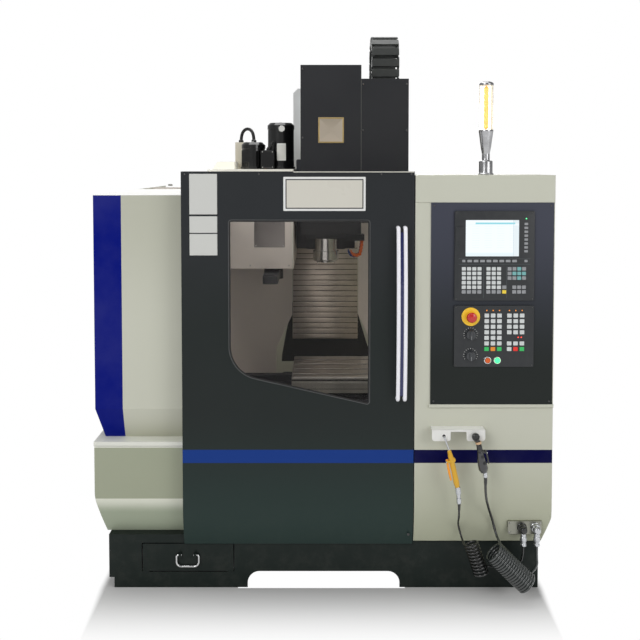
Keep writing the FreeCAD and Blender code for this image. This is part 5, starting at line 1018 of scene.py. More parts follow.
def screen_material():
    """Lit display: title bar, column of soft keys, table lines and an upright divider, each a
    band of the place across and up the screen."""
    made, tree, shader = material("lit display")
    if tree is None:
        return made
    parts = put(tree, "ShaderNodeSeparateXYZ", Vector=place(tree)).outputs
    x, z = parts["X"], parts["Z"]

    def band(value, low, high):
        return maths(tree, "MULTIPLY", maths(tree, "GREATER_THAN", value, low),
                     maths(tree, "LESS_THAN", value, high))

    tone = shade("f4fbff")
    table = band(z, 1.352, 1.438)
    lines = maths(tree, "LESS_THAN", maths(tree, "FRACT", maths(tree, "MULTIPLY", z, 110.0)), 0.16)
    words = band(maths(tree, "FRACT", maths(tree, "MULTIPLY", x, 21.0)), 0.12, 0.72)
    rows = maths(tree, "MULTIPLY", maths(tree, "MULTIPLY", table, lines), words)
    tone = mix(tree, maths(tree, "MULTIPLY", rows, 0.12), tone, shade("6f8ea0"))
    tone = mix(tree, band(z, 1.3225, 1.336), tone, shade("e6f3f7"))
    tone = mix(tree, band(x, 0.7365, 0.7575), tone, shade("e4eef2"))
    tone = mix(tree, band(z, 1.4405, 1.4478), tone, shade("f0f8fb"))
    tone = mix(tree, maths(tree, "MULTIPLY", band(z, 1.4452, 1.4518), band(x, 0.590, 0.742)), tone,
               shade("8fd6e2"))
    tone = mix(tree, band(x, 0.7350, 0.7362), tone, shade("b9cdd6"))
    shader.inputs["Base Color"].default_value = (0.02, 0.03, 0.03, 1)
    shader.inputs["Roughness"].default_value = 0.18
    join(tree, tone, shader, "Emission Color")
    shader.inputs["Emission Strength"].default_value = 1.0
    film = put(tree, "ShaderNodeBump", Strength=0.1, Distance=0.00003,
               Height=noise(tree, place(tree), 1500.0))
    join(tree, film.outputs[0], shader, "Normal")
    return made


class MakePanelPieces(Build):
    """Bezels, display, keys, stop button, knobs, push buttons, lamps and screws."""
    bl_idname = "machine.panel_pieces"
    bl_label = "Operator panel"

    def make(self):
        screen = (655.0, 1391.5)
        display = ring_plate((307, 345, 6), (208, 143, 2), (screen[0] - PANEL_X, screen[1] - 1323.5), 8.0,
                             2.0, centre=(PANEL_X, PLATE_Y, 1323.5))
        keypad = slab((PANEL_X, PLATE_Y, 1013.0), 307, 238, 8.0, 6, 1.2)
        flap = slab((529.0, BEZEL_Y, 1401.5), 30, 69, 3.0, 2, 0.8)
        grip = slab((529.0, BEZEL_Y - 2.9, 1375.0), 16, 4, 1.2, 1.5, 0.5)
        lines = [slab((PANEL_X, BEZEL_Y, z), 276, 1.0, 0.35, 0.4, 0.15, finish=1) for z in (1312.5, 1291.5)]
        lines += [slab((x, BEZEL_Y, 1222.0), 1.0, 122, 0.35, 0.4, 0.15, finish=1) for x in (622.0, 711.0)]
        build("panel_bezels", [display, keypad, flap, grip] + lines,
              [bezel_plastic(), plastic("panel line grey", shade("5b6468"), 0.4)], "machine",
              replaces=("operator_panels",))
        build("display_glass", [slab((screen[0], BEZEL_Y + 2.0, screen[1]), 204, 139, 0.8, 1.5, 0.2)],
              [screen_material()], "machine")
        keys = []
        for left, top, columns, rows, pitch_x, pitch_z, width, height, rule in KEY_BLOCKS:
            for column in range(columns):
                for row in range(rows):
                    keys.append(slab((left + column * pitch_x, BEZEL_Y, top - row * pitch_z), width, height,
                                     2.0, 1.6, sizes().key_edge / MM, dish=0.35, steps=2,
                                     finish=key_finish(rule, column, row, columns, rows)))
        build("keycaps", keys, [
            key_material("white key", "dfe3e3"), key_material("grey key", "9d9fa3"),
            key_material("teal key", "7fbdbd"), key_material("yellow key", "ffdf48"),
            # The red, green and orange keys are no lamps: their glow is painted light.
            plastic("red key", shade("d3291f"), 0.35, glow=0.35),
            plastic("green key", shade("2faf5a"), 0.35, glow=0.3),
            plastic("orange key", shade("e08a2a"), 0.35, glow=0.2),
        ], "machine", replaces=("panel_keys",))
        y = BEZEL_Y
        disc = lathe(round_edges([(0, 0), (35.5, 0), (35.5, 2.4), (34.5, 3.0), (22, 3.0), (17, 1.4),
                                  (0, 1.4)], 0.5),
                     (SWITCH_X, y, STOP_Z), FRONT[2], 48)
        # The disc is no lamp: its faint glow is painted light.
        build("stop_disc", [disc], [plastic("yellow disc", shade("ffcf35"), 0.35, glow=0.08)], "machine")
        head = y - 9.0
        cap = [(0, -1.6), (8, -1.6), (8, 9.0), (13.0, 9.0), (13.0, 14), (19.0, 17.0), (20.0, 21.0),
               (19.6, 25.0), (16.8, 29.4), (9.0, 31.6), (0, 32.4)]
        shapes = [lathe(round_edges(cap, 1.6), (SWITCH_X, y, STOP_Z), FRONT[2], 48)]
        build("stop_mushroom_cap", shapes, [plastic("stop red", shade("cf1c17"), 0.22, coat=0.6)],
              "stop_mushroom", replaces=("estop_button",))
        for name, z in KNOB_PLACES.items():
            profile = round_edges([(0, 0.4), (20.0, 0.4), (20.0, 2.2), (18.6, 3.4), (18.2, 13.0),
                                   (16.6, 14.6), (0, 14.6)], 0.8)

            def knurl(angle, row, rows=len(profile)):
                inside = (row > 8) & (row < rows - 4)
                wave = np.cos(24 * angle)
                return 1 + np.where(inside, 0.028 * np.sign(wave) * np.abs(wave) ** 0.5, 0)

            shapes = [
                lathe(profile, (SWITCH_X, y, z), FRONT[2], 144, 0, knurl),
                slab((SWITCH_X, y - 14.0, z - 1), 10, 35, 7.0, 3, 1.5),
                slab((SWITCH_X, y - 20.9, z - 9), 2.0, 15, 0.5, 0.9, 0.2, finish=1),
            ]
            build(name + "_override_knob", shapes, [plastic("knob grey", shade("35383c"), 0.3, coat=0.2),
                                                    plastic("mark grey", shade("8c8f90"), 0.4)],
                  name + "_override", replaces=(name + "_knob",))
        ticks = []
        for z in KNOB_PLACES.values():
            for angle in np.radians(np.arange(-120, 121, 20)):
                turn = np.array([[math.cos(angle), 0, -math.sin(angle)],
                                 [math.sin(angle), 0, math.cos(angle)], [0, -1, 0]])
                middle = (SWITCH_X + 26.0 * math.sin(angle), y, z + 26.0 * math.cos(angle))
                ticks.append(slab(middle, 1.2, 5.0, 0.3, 0.4, 0.1, turn, steps=1))
        build("dial_ticks", ticks, [plastic("mark white", shade("e6e6e4"), 0.4)], "machine")
        for name, x, finish in (("start", 677.0, plastic("lit green cap", shade("2fe06a"), 0.3, glow=3.0)),
                                ("stop", 640.0, plastic("orange cap", shade("e8641c"), 0.3))):
            ring = round_edges([(10.6, 0), (14.5, 0), (14.5, 2.0), (12.8, 3.6), (10.8, 3.6), (10.6, 3.0),
                                (10.6, 0.0)], 0.6)
            build(name + "_ring", [lathe(ring, (x, y, BUTTON_Z), FRONT[2], 36)], [polished()], "machine")
            cap = round_edges([(0, -8), (7, -8), (7, 3.0), (10.0, 3.0), (10.0, 6.2), (8.6, 7.0), (0, 6.4)],
                              0.7)
            build(name + "_cap", [lathe(cap, (x, y, BUTTON_Z), FRONT[2], 36)], [finish], name,
                  replaces=(name + "_button",))
        lamps = [(769.0, 1009.0, 1), (757.0, 1009.0, 1), (784.0, 1467.0, 0)]
        lamps += [(x, 1113.0, 2) for x in (635.5, 660.0, 684.3, 722.5, 747.0, 771.3)]
        domes = [lathe(round_edges([(0, 0), (2.2, 0), (2.2, 0.8), (1.2, 1.6), (0, 1.8)], 0.4), (x, y, z),
                       FRONT[2], 12, k)
                 for x, z, k in lamps]
        build("status_lamps", domes, [plastic("lamp green", shade("52f08a"), 0.3, glow=2.5),
                                      plastic("lamp red", shade("ff3a28"), 0.3, glow=2.5),
                                      plastic("lamp orange", shade("ff9a2e"), 0.3, glow=0.8)], "machine")
        build("panel_screws",
              corner_screws(433, 881, 758, 1516, PLATE_Y, 3.6) +
              corner_screws(517, 810, 1158, 1489, BEZEL_Y, 2.4) +
              corner_screws(517, 810, 901, 1125, BEZEL_Y, 2.4), [black_steel()], "machine")


# ---------------------------------------------------------------- signal light
class MakeSignalLight(Build):
    """Chrome foot and cap, clear tube and the lit stick inside."""
    bl_idname = "machine.signal_light"
    bl_label = "Signal light"

    def make(self):
        at = (BEACON[0], BEACON[1], 0.0)
        foot = [(0, 1633), (31, 1633), (31, 1638), (27, 1640), (27, 1686), (25, 1689), (15.5, 1690.5),
                (15.5, 1717), (20, 1740), (28.2, 1803), (29, 1806), (29, 1813), (16, 1813.5), (0, 1813.5)]
        cap = [(0, 1989.5), (26, 1989.5), (29, 1990), (29, 1996), (26, 2001), (15, 2005.4), (0, 2006)]
        build("signal_chrome",
              [lathe(round_edges(foot, 3.0), at, sides=48), lathe(round_edges(cap, 2.0), at, sides=48)],
              [metal("lamp chrome", shade("c2c3c6"), 0.22, (900.0, 900.0, 30.0), 0.25, "2c2c2e", 0.5)],
              "machine", replaces=("beacon_pole",))
        wall = round_edges([(25.2, 1813.2), (28.0, 1813.2), (28.0, 1989.8), (25.2, 1989.8), (25.2, 1813.2)],
                           0.4)
        build("signal_tube", [lathe(wall, at, sides=48)], [clear("beacon tube", shade("fbf6ea"))],
              "machine", replaces=("beacon_lens",))
        rows = np.arange(29)
        height = 1814.0 + rows * 175.5 / 28
        radius = np.where(rows % 4 == 3, 7.5, 9.5)
        radius[[0, -1]] = 0
        stick = lathe(np.stack([radius, height], -1), at, sides=24,
                      ripple=lambda angle, row: 1 + 0.06 * np.cos(6 * angle))
        lit = plastic("lamp stick", shade("f29a38"), 0.4, glow=0.75, glow_colour=shade("ffc65a"))
        build("lamp_stick", [stick], [lit], "machine")


# ---------------------------------------------------------------- head, chain and covers
def chain_links():
    """Pivots stand evenly along a U (leg, half circle, leg). Each link is two overlapping side
    plates and two broad bars, placed by the straight line between its two pivots."""
    centre_x, width, middle_y, bend, crown = 320.0, 137.0, 155.0, 100.0, 2203.0
    front, arc, rear = crown - 1745.0, math.pi * bend, crown - 1850.0
    count = 22
    s = np.linspace(0, front + arc + rear, count + 1)
    angle = np.clip((s - front) / bend, 0, math.pi)
    y = middle_y - bend * np.cos(angle)
    z = np.where(s < front, 1745.0 + s, np.where(s > front + arc, crown - (s - front - arc),
                                                  crown + bend * np.sin(angle)))
    shapes = []
    pitch = s[1]
    for i in range(count):
        start, end = np.array([0, y[i], z[i]]), np.array([0, y[i + 1], z[i + 1]])
        along = (end - start) / np.linalg.norm(end - start)
        across = np.array([1.0, 0, 0])
        out = np.cross(across, along) * -1
        if i < count / 2 and out[1] > 0 or i > count / 2 and out[1] < 0:
            out = -out
        middle = (start + end) / 2 + np.array([centre_x, 0, 0])
        inner = i % 2
        for side in (-1, 1):
            turn = np.array([along, out, across * side])
            if np.linalg.det(turn) < 0:
                turn[0] = -turn[0]
            reach = width / 2 - 5.5 - 5.0 * inner
            extra = 12.0 if 0 < i < count - 1 else 0.0
            shapes.append(slab(middle + across * side * reach, pitch + extra, 42, 5.0, 20, 0.8, turn,
                               steps=3))
            if not inner:
                shapes.append(slab(middle + across * side * (width / 2 - 0.6), 11, 11, 0.6, 5, 0.2, turn,
                                   steps=2))
        flat = np.array([across, np.cross(out, across), out])
        for level, flip in ((15.5, 1), (-15.5, -1)):
            face = flat if flip > 0 else np.array([across, -flat[1], -out])
            shapes.append(slab(middle + out * level, width - 2, pitch * 0.74, 6.4, 4, 1.2, face, steps=3))
            for side in (-1, 1):
                shapes.append(slab(middle + out * level + across * side * (width / 2 - 14) + face[2] * 6.3,
                                   9, pitch * 0.4, 0.5, 1.5, 0.2, face, steps=2))
    return shapes


SLATS = (744.0, 1258.6, 18)     # bottom, top and number of slats


def slat_rows():
    """Steel slats: the front stands out in a straight ramp over each slat and steps back under
    the next; every row is a rectangle from side to side."""
    low, high, count = SLATS
    pitch = (high - low) / count
    ramp = np.array([(0.0, 1.0), (0.06, 0.25), (0.12, 0.05), (0.9, 2.6), (0.97, 3.0), (1.0, 4.2)])
    z = (low + pitch * (np.arange(count)[:, None] + ramp[None, :, 0])).ravel()
    y = (296.0 + np.tile(ramp[:, 1], count))
    z = np.concatenate([[low], z, [high]])
    y = np.concatenate([[300.0], y, [300.0]])
    x0, x1, back = -151.0, 195.0, 333.0
    rim = np.array([(x0, 0), (x0 + 1.5, -1.0), (x1 - 1.5, -1.0), (x1, 0), (x1, 1), (x0, 1)])
    front = np.where(rim[:, 1] < 1, y[:, None] - np.clip(rim[:, 1], -1, 0) * -0.8, back)
    points = np.stack([np.broadcast_to(rim[:, 0], front.shape), front,
                       np.broadcast_to(z[:, None], front.shape)], -1)
    caps = [np.tile([[(x0 + x1) / 2, 315.0, end]], (len(rim), 1))[None] for end in (low, high)]
    points = np.concatenate([caps[0], points, caps[1]])
    return points.reshape(-1, 3) * MM, grid_faces(len(points), len(rim), True), 0


def pleat_rows():
    """Folded cover: an upturned U whose top and sides swell and shrink in a rounded wave
    along the slide, with a thin inner wall."""
    y0, y1, count = -99.6, 334.6, 14
    t = np.linspace(0, count, count * 12 + 1)
    wave = 1 - np.abs(np.sin(math.pi * t)) ** 0.8
    y = y0 + (y1 - y0) * t / count
    drop = 15.5 * wave
    base, top, half, wall = 457.0, 560.0, 235.0, 3.0
    corner = np.array([(-1, 0, 0), (-1, 1, -14), (-1, 1, 0), (1, 1, 0), (1, 1, -14), (1, 0, 0)])
    rings = []
    for inset in (0.0, wall):
        x = 22.0 + corner[:, 0] * (half - inset - drop[:, None] * 0.8 * (corner[:, 1] > 0)
                                   - 12 * (corner[:, 1] * (corner[:, 2] == 0)))
        z = np.where(corner[:, 1] > 0, top - inset - drop[:, None] + corner[:, 2], base)
        ring = np.stack([x, np.broadcast_to(y[:, None], x.shape), np.broadcast_to(z, x.shape)], -1)
        rings.append(ring if inset == 0 else ring[:, ::-1])
    points = np.concatenate(rings, 1)
    count_rows, sides = points.shape[:2]
    quads = grid_faces(count_rows, sides, True)
    ends = []
    for row in (0, count_rows - 1):
        a = row * sides + np.arange(5)
        b = row * sides + sides - 1 - np.arange(5)
        ends.append(np.stack([a, a + 1, b - 1, b], -1))
    return points.reshape(-1, 3) * MM, np.concatenate([quads] + ends), 0


def nozzle_path(y, bend):
    """Straight down out of the block, then half a turn towards the spindle."""
    k = np.arange(0, 12)
    angle = math.pi * k / 11
    drop = np.minimum(15.0 * k, 45.0)
    x = 195.0 - bend * (1 - np.cos(angle))
    z = 1310.0 - drop - bend * np.sin(angle)
    return np.stack([x, np.full(len(k), y), z], -1)


def resampled(path, step):
    """Places at even distances along a line, between its points."""
    path = np.array(path, float)
    run = np.concatenate([[0], np.cumsum(np.linalg.norm(np.diff(path, axis=0), axis=1))])
    s = np.linspace(0, run[-1], max(2, int(run[-1] / step)))
    return np.stack([np.interp(s, run, path[:, i]) for i in range(3)], -1), s


def segment_hose(path, finish):
    """Ball-jointed hose: the radius swells and necks in once per segment, and tapers in a nozzle
    at the end."""
    line, s = resampled(path, 1.6)
    phase = (s / 15.0) % 1.0
    radius = 6.2 + 2.6 * np.sin(math.pi * np.clip(phase * 1.25, 0, 1)) ** 0.6
    left = s[-1] - s
    radius = np.where(left < 26, 3.2 + 4.2 * np.clip(left / 26, 0, 1), radius)
    return carried(line, circle(1.0, 18), finish, radius)


def black_sheet(stations, y, thick=3.0):
    """A flat sheet through stations (z, left x, right x): straight edges from one to the next."""
    z, left, right = np.array(stations, float).T
    flat = np.stack([left, right, right, left], 1)
    deep = np.array([y, y, y + thick, y + thick])
    points = np.stack([flat, np.broadcast_to(deep, flat.shape), np.broadcast_to(z[:, None], flat.shape)],
                      -1)
    ends = [np.broadcast_to(row.mean(0), row.shape)[None] for row in (points[0], points[-1])]
    points = np.concatenate([ends[0], points, ends[1]])
    return points.reshape(-1, 3) * MM, grid_faces(len(points), 4, True), 0


def head_block():
    """The casting over the spindle: a rounded nose that stops above the sleeve, a lower jaw behind
    it and the wide slide block."""
    nose = slab((22.0, -20.0, 1511.0), 190, 378, 150, 6, 2.0)
    jaw = slab((22.0, -20.0, 1291.0), 190, 63, 22, 4, 1.5)
    slide = slab((22.0, 311.0, 1479.5), 290, 441, 316, 8, 2.0)
    return [nose, jaw, slide]


class MakeHeadPieces(Build):
    """Cable chain links, slat cover, folded cover, coolant hoses, blank plate and screws."""
    bl_idname = "machine.head_pieces"
    bl_label = "Head, chain and covers"

    def make(self):
        build("chain_links", chain_links(), [chain_plastic()], "chain",
              replaces=("cable_chain",))
        pitch = (SLATS[1] - SLATS[0]) / SLATS[2]
        # Near-black strips under each slat's step: painted shadow.
        slat_shadow_strips = [slab((22.0, 297.6, SLATS[0] + pitch * k + 1.6), 343, 5.6, 2.2, 0.5, 0.3, finish=1)
                for k in range(1, SLATS[2])]
        slats = build("way_cover_slats", [slat_rows()] + slat_shadow_strips, [slat_steel(), shadow_black()], "machine",
                      30, ("z_way_cover",))
        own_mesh(slats)
        folds = build("y_way_folds", [pleat_rows()], [folded_rubber()], "machine", 30,
                      ("y_bellows",))
        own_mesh(folds)
        # Black sheets in the cut-out round the slat cover: partly the black cover there, partly painted
        # shade where the cabin is dark.
        black_sheet_stations = [[(615, -212, 257), (647, -211, 257), (686, -204, 255), (742, -194, 237)],
                  [(742, -194, -153), (846, -173, -153), (935, -158, -153)],
                  [(742, 197, 237), (871, 197, 199)]]
        build("way_cover_and_shade_sheets", [black_sheet(stations, 326.0) for stations in black_sheet_stations], [folded_rubber()], "machine",
              30)
        # Painted light on the table: near-black strips are painted shadow in the slots and on the front,
        # and the pale steel strips are painted highlights along the front.
        strips = [slab((220.0, -285.0 + 90.0 * k, 738.6), 698, 14.6, 0.5, 0.4, 0.1, TOP, 1)
                  for k in (-1.5, -0.5, 0.5, 1.5)]
        strips += [slab((220.0, -485.0, z), 698, high, 0.6, 0.4, 0.2, finish=k)
                   for z, high, k in ((738.0, 3.6, 0), (729.0, 6.0, 1), (718.5, 3.6, 0), (690.0, 2.0, 1))]
        build("table_lines", strips,
              [metal("painted highlight steel", shade("f4f1ea"), 0.34, (20.0, 900.0, 900.0)), shadow_black()], "table")
        build("head_casting", head_block(), [casting()], "head", replaces=("headstock",))
        block = slab((162.0, -140.0, 1325.0), 90, 30, 60, 3, 1.0,
                     np.array([[1, 0, 0], [0, 0, 1], [0, 1, 0]]), 2)
        build("coolant_hoses", [block, segment_hose(nozzle_path(-125.0, 26.0), 0),
                                segment_hose(nozzle_path(-95.0, 32.0), 1)],
              [plastic("orange segments", shade("d9641e"), 0.35),
               plastic("blue segments", shade("1f3a78"), 0.35), casting()], "head",
              replaces=("coolant_nozzles",))
        x, z = COVER_PLATE
        build("cover_plate", [slab((x, COVER_Y, z), 120, 120, 1.6, 3, 0.5),
                              ring_plate((119, 119, 2), (108, 108, 1.5), (0, 0), 0.5, 0.45, 0.1,
                                         centre=(x, COVER_Y - 1.5, z), finish=1)],
              [painted("plate tan", shade("b9ad9c"), 0.35, 1500.0, 0.00004),
               metal("brass edge", shade("b79a52"), 0.35, (900.0, 900.0, 20.0), 0.2, "5a5038", 0.3)],
              "head")
        places = [(196.0, 1835.0), (196.0, 1500.0), (196.0, 2050.0), (400.0, 1835.0), (400.0, 1500.0),
                  (400.0, 2050.0), (-88.0, 2120.0), (-88.0, 1800.0), (-88.0, 1500.0)]
        build("cover_screws", [screw((x, COVER_Y, z), 4.5) for x, z in places], [black_steel()], "head")


# ---------------------------------------------------------------- guns, drives and outer fittings
STATION_STEP = 2.0          # distance between two rings of a gun's body
PIN = [(0, -12), (2, -12), (2, 12), (0, 12)]


def station_hose(stations, y, finish):
    """A round body through stations (x, z, diameter) in the plane y: the line runs straight from
    one to the next and the radius eases between them along a half cosine."""
    stations = np.array(stations, float)
    run = np.concatenate([[0], np.cumsum(np.linalg.norm(np.diff(stations[:, :2], axis=0), axis=1))])
    s = np.linspace(0, run[-1], max(4, int(run[-1] / STATION_STEP)))
    which = np.clip(np.searchsorted(run, s, side="right") - 1, 0, len(run) - 2)
    share = (s - run[which]) / (run[which + 1] - run[which])
    share = (1 - np.cos(math.pi * share)) / 2
    radius = (stations[which, 2] * (1 - share) + stations[which + 1, 2] * share) / 2
    line = np.stack([np.interp(s, run, stations[:, 0]), np.full(len(s), y),
                     np.interp(s, run, stations[:, 1])], -1)
    return carried(line, circle(1.0, 24), finish, radius)


def lobed_sheet():
    """Folded front of the gun bracket: the lower edge drops from the waist to the two lobes along
    steep rounded steps, so the sheet is one section per place across, narrow or tall."""
    x = np.concatenate([np.linspace(422, 436, 9), np.linspace(440, 478, 4), np.linspace(482, 498, 14),
                        np.linspace(502, 546, 4), np.linspace(550, 566, 14), np.linspace(570, 608, 4),
                        np.linspace(612, 626, 9)])

    def quarter(distance, radius):
        away = np.clip(radius - distance, 0, radius)
        return radius - np.sqrt(np.maximum(radius ** 2 - away ** 2, 0))

    low = np.full(len(x), 653.0)
    for left, right in ((422.0, 494.0), (554.0, 626.0)):
        inside = (x >= left) & (x <= right)
        corner = 617.0 + quarter(np.minimum(x - left, right - x), 11.0)
        low = np.where(inside, corner, low)
    share = np.linspace(0, 1, 7)
    front = low[:, None] + (660.0 - low[:, None]) * share
    z = np.concatenate([front, front[:, ::-1]], 1)
    y = np.concatenate([np.full(front.shape, -945.0), np.full(front.shape, -942.0)], 1)
    points = np.stack([np.broadcast_to(x[:, None], z.shape), y, z], -1)
    ends = [np.tile(points[k].mean(0), (z.shape[1], 1))[None] for k in (0, -1)]
    points = np.concatenate([ends[0], points, ends[1]])
    return points.reshape(-1, 3) * MM, grid_faces(len(points), z.shape[1], True), 0


def grip_bar(x, z, length, lean, thick):
    """A flat lever: a rounded rectangle carried down from its pin in a shallow bow that thickens
    a little at the free end."""
    t = np.linspace(0, 1, 24)
    line = np.stack([x + lean * t ** 1.15, np.full(24, GUN_Y), z + 4 - (length + 4) * t], -1)
    width = 0.82 + 0.18 * np.sin(math.pi * np.clip(t * 1.2, 0, 1)) ** 0.5
    return carried(line, rounded_rectangle(13, thick, 3, 3), sizes_along=width)


def knurled(profile, centre, axis, count, finish, rows, depth=0.04):
    """A turned sleeve whose radius waves count times round its axis on the chosen rows."""
    def wave(angle, row):
        inside = (row >= rows[0]) & (row <= rows[1])
        return 1 + np.where(inside, depth * np.cos(count * angle), 0.0)

    return lathe(profile, centre, axis, 96, finish, wave)


def thread(start, end, diameter, pitch=5.0, depth=1.6):
    """Ball screw: the radius dips where the angle and the place along the axis agree with the
    helix, in a smooth round groove."""
    start, end = np.array(start, float), np.array(end, float)
    reach = np.linalg.norm(end - start)
    h = np.arange(0, reach, pitch / 6)
    profile = np.concatenate([[(0, 0)], np.stack([np.full(len(h), diameter / 2), h], -1), [(0, h[-1])]])
    height = profile[:, 1]

    def groove(angle, row):
        phase = np.cos(angle - 2 * math.pi * height[row] / pitch)
        return 1 - depth / (diameter / 2) * np.clip(phase, 0, 1) ** 1.5

    return lathe(profile, start, (end - start) / reach, 18, 0, groove)


def louvre(centre, width, height, depth, face):
    """A pressed louvre: a quarter wave stands out over a straight slot and runs out to nothing at
    both sides along a rounded end."""
    u = np.linspace(-1, 1, 17)
    v = np.linspace(0, 1, 7)
    across = u * width / 2
    end = (1 - np.abs(u) ** 4) ** 0.5
    rise = np.cos(v * math.pi / 2)
    rows = [np.stack([across, np.zeros(17), np.zeros(17)], -1)]
    for share, lift in zip(v, rise):
        rows.append(np.stack([across, share * height * np.ones(17), depth * lift * end], -1))
    flat = np.stack(rows)
    points = flat[..., :1] * face[0] + flat[..., 1:2] * face[1] + flat[..., 2:] * face[2]
    return (points.reshape(-1, 3) + np.array(centre)) * MM, grid_faces(len(rows), 17, False), 0


def bent_label(centre_x, centre_y, radius, half_width, z0, z1, finish=0, thick=0.6):
    """A plate wrapped on a round motor: places on the circle between two angles, closed at its
    rim by a band of the plate's thickness."""
    angle = np.linspace(-1, 1, 13) * math.asin(half_width / radius)
    rings = []
    for level, inset in ((0.0, 0.0), (thick, 0.0), (thick, 0.04)):
        a = angle * (1 - inset)
        r = radius + level
        low, high = z0 + inset * (z1 - z0) / 2, z1 - inset * (z1 - z0) / 2
        lower = np.stack([centre_x + r * np.sin(a), centre_y - r * np.cos(a), np.full(13, low)], -1)
        upper = np.stack([lower[:, 0], lower[:, 1], np.full(13, high)], -1)[::-1]
        rings.append(np.concatenate([lower, upper]))
    middle = rings[-1][:13]
    points = np.stack(rings)
    quads = grid_faces(3, 26, True)
    k = np.arange(12)
    face = np.stack([52 + k, 53 + k, 52 + 24 - k, 52 + 25 - k], -1)
    return points.reshape(-1, 3) * MM, np.concatenate([quads, face]), finish


class MakeGunPieces(Build):
    """Wash-down guns: bodies, nozzles, collars, levers and the knurled hose ends."""
    bl_idname = "machine.guns"
    bl_label = "Wash-down guns"

    def make(self):
        yellow = plastic("yellow body", shade("e9b21c"), 0.32, coat=0.3)
        # The lever is no lamp: its faint glow is painted light.
        amber = plastic("amber lever", shade("f09a24"), 0.3, coat=0.2, glow=0.15)
        black = glossy_black()
        grip = plastic("grey grip", shade("1d1e22"), 0.16, coat=1.0)
        beige = plastic("beige ring", shade("d9b48c"), 0.3, coat=0.3)
        y = GUN_Y
        stub = np.array([(468.0, -934.0, 636.0), (468.0, y, 636.0), (486.0, y, 588.0)])
        tube = carried(round_edges(stub, 7.0, 8), circle(3.2, 16), 1)
        body = station_hose([(484.5, 588, 9), (486, 584, 15), (492, 560, 20), (499, 530, 21),
                             (505, 506, 20), (514, 462, 22), (518, 446, 18)], y, 0)
        bump = lathe(round_edges([(0, -8), (9, -8), (10, -4), (10, 4), (9, 8), (0, 8)], 2.5), (500, y, 551),
                     (0, 1, 0), 28)
        ears = [slab((483, y + side * 7.5, 546), 18, 8, 3.0, 4, 0.8, REAR if side > 0 else FRONT)
                for side in (-1, 1)]
        nut = knurled(round_edges([(0, 0), (9.4, 0), (9.8, 2), (9.8, 26), (9.4, 28), (0, 28)], 0.4),
                      (522.4, y, 419), (-0.12, 0, 0.99), 24, 1, rows=(2, 9))
        tail = knurled(round_edges([(0, 0), (7, 0), (9, 3), (9, 22), (7, 24), (8, 26), (8, 38), (0, 39)],
                                   0.5),
                       (525, y, 381), (-0.07, 0, 0.998), 8, 1, rows=(3, 6))
        boot = station_hose([(524.5, 384, 13), (525, 372, 11), (525, 356, 9.4)], y, 2)
        build("air_gun_body", [body, tube, bump, nut, tail, boot] + ears, [yellow, satin(), hose_rubber()],
              "machine", replaces=("air_gun",))
        build("air_lever_bar", [grip_bar(477, 547, 74, 16, 9), lathe(PIN, (474, y, 545), (0, 1, 0), 16, 1)],
              [amber, satin()], "air_lever", replaces=("air_gun_lever",))
        head = lathe(round_edges([(0, -11), (8, -11), (14, -7), (15, 0), (14.4, 6), (11, 9), (9.6, 8.4),
                                  (8.6, 4.0), (3.2, 3.6), (2.6, 5.2), (0, 5.2)], 1.0), (586.0, y, 639),
                     FRONT[2], 44)
        pipe = carried(np.array([(586.0, -934.0, 637.0), (586.0, y + 6, 637.0)]), circle(4.8, 20))
        neck = station_hose([(589, 630, 21), (595, 618, 18), (600, 602, 21), (602, 590, 22),
                             (603, 584, 20)], y, 0)
        ring = lathe(round_edges([(9, -4.5), (11.4, -4.5), (11.8, 0), (11.4, 4.5), (9, 4.5)], 0.8),
                     (596.5, y, 617), (-0.24, 0, 0.97), 36, 1)
        handle = station_hose([(602, 589, 19), (604, 578, 25), (608, 553, 31), (613, 530, 36),
                               (616, 518, 37), (619, 508, 30), (622, 502, 17)], y, 2)
        ears = [slab((616, y + side * 8.0, 583), 20, 7, 3.0, 3, 0.8, REAR if side > 0 else FRONT)
                for side in (-1, 1)]
        end = knurled(round_edges([(0, 0), (8.4, 0), (8.4, 9), (7.6, 11), (8.4, 13), (8.4, 20), (0, 21)],
                                  0.5),
                      (624, y, 484), (-0.05, 0, 0.998), 12, 3, rows=(3, 6))
        boot = station_hose([(624.4, 486, 14.5), (625, 474, 13), (625, 454, 11)], y, 0)
        build("water_gun_body", [head, pipe, neck, ring, handle, end, boot] + ears,
              [black, beige, grip, satin()], "machine", replaces=("water_gun",))
        build("water_trigger_bar",
              [grip_bar(626, 582, 44, 10, 8), lathe(PIN, (628, y, 582), (0, 1, 0), 16, 1)],
              [black, satin()], "water_trigger", replaces=("water_gun_trigger",))
        shelf = slab((524.0, -918.6, 656.8), 203, 47, 3.0, 1.0, 0.4, TOP)
        # The black disc round the tube is painted shade in the bracket's hole.
        hole = lathe([(0, 0), (6.0, 0), (6.0, 0.4), (0, 0.4)], (468.0, -945.0, 637.0), FRONT[2], 24, 1)
        build("bracket_sheet", [lobed_sheet(), shelf, hole], [white_coat(), black_plastic()], "machine",
              replaces=("gun_bracket",))
        plate = [screw((x, FACE_Y + 0.2, z), 3.6) for x, z in ((505.0, 650.0), (543.0, 650.0))]
        build("bracket_screws", plate, [zinc_screw()], "machine")


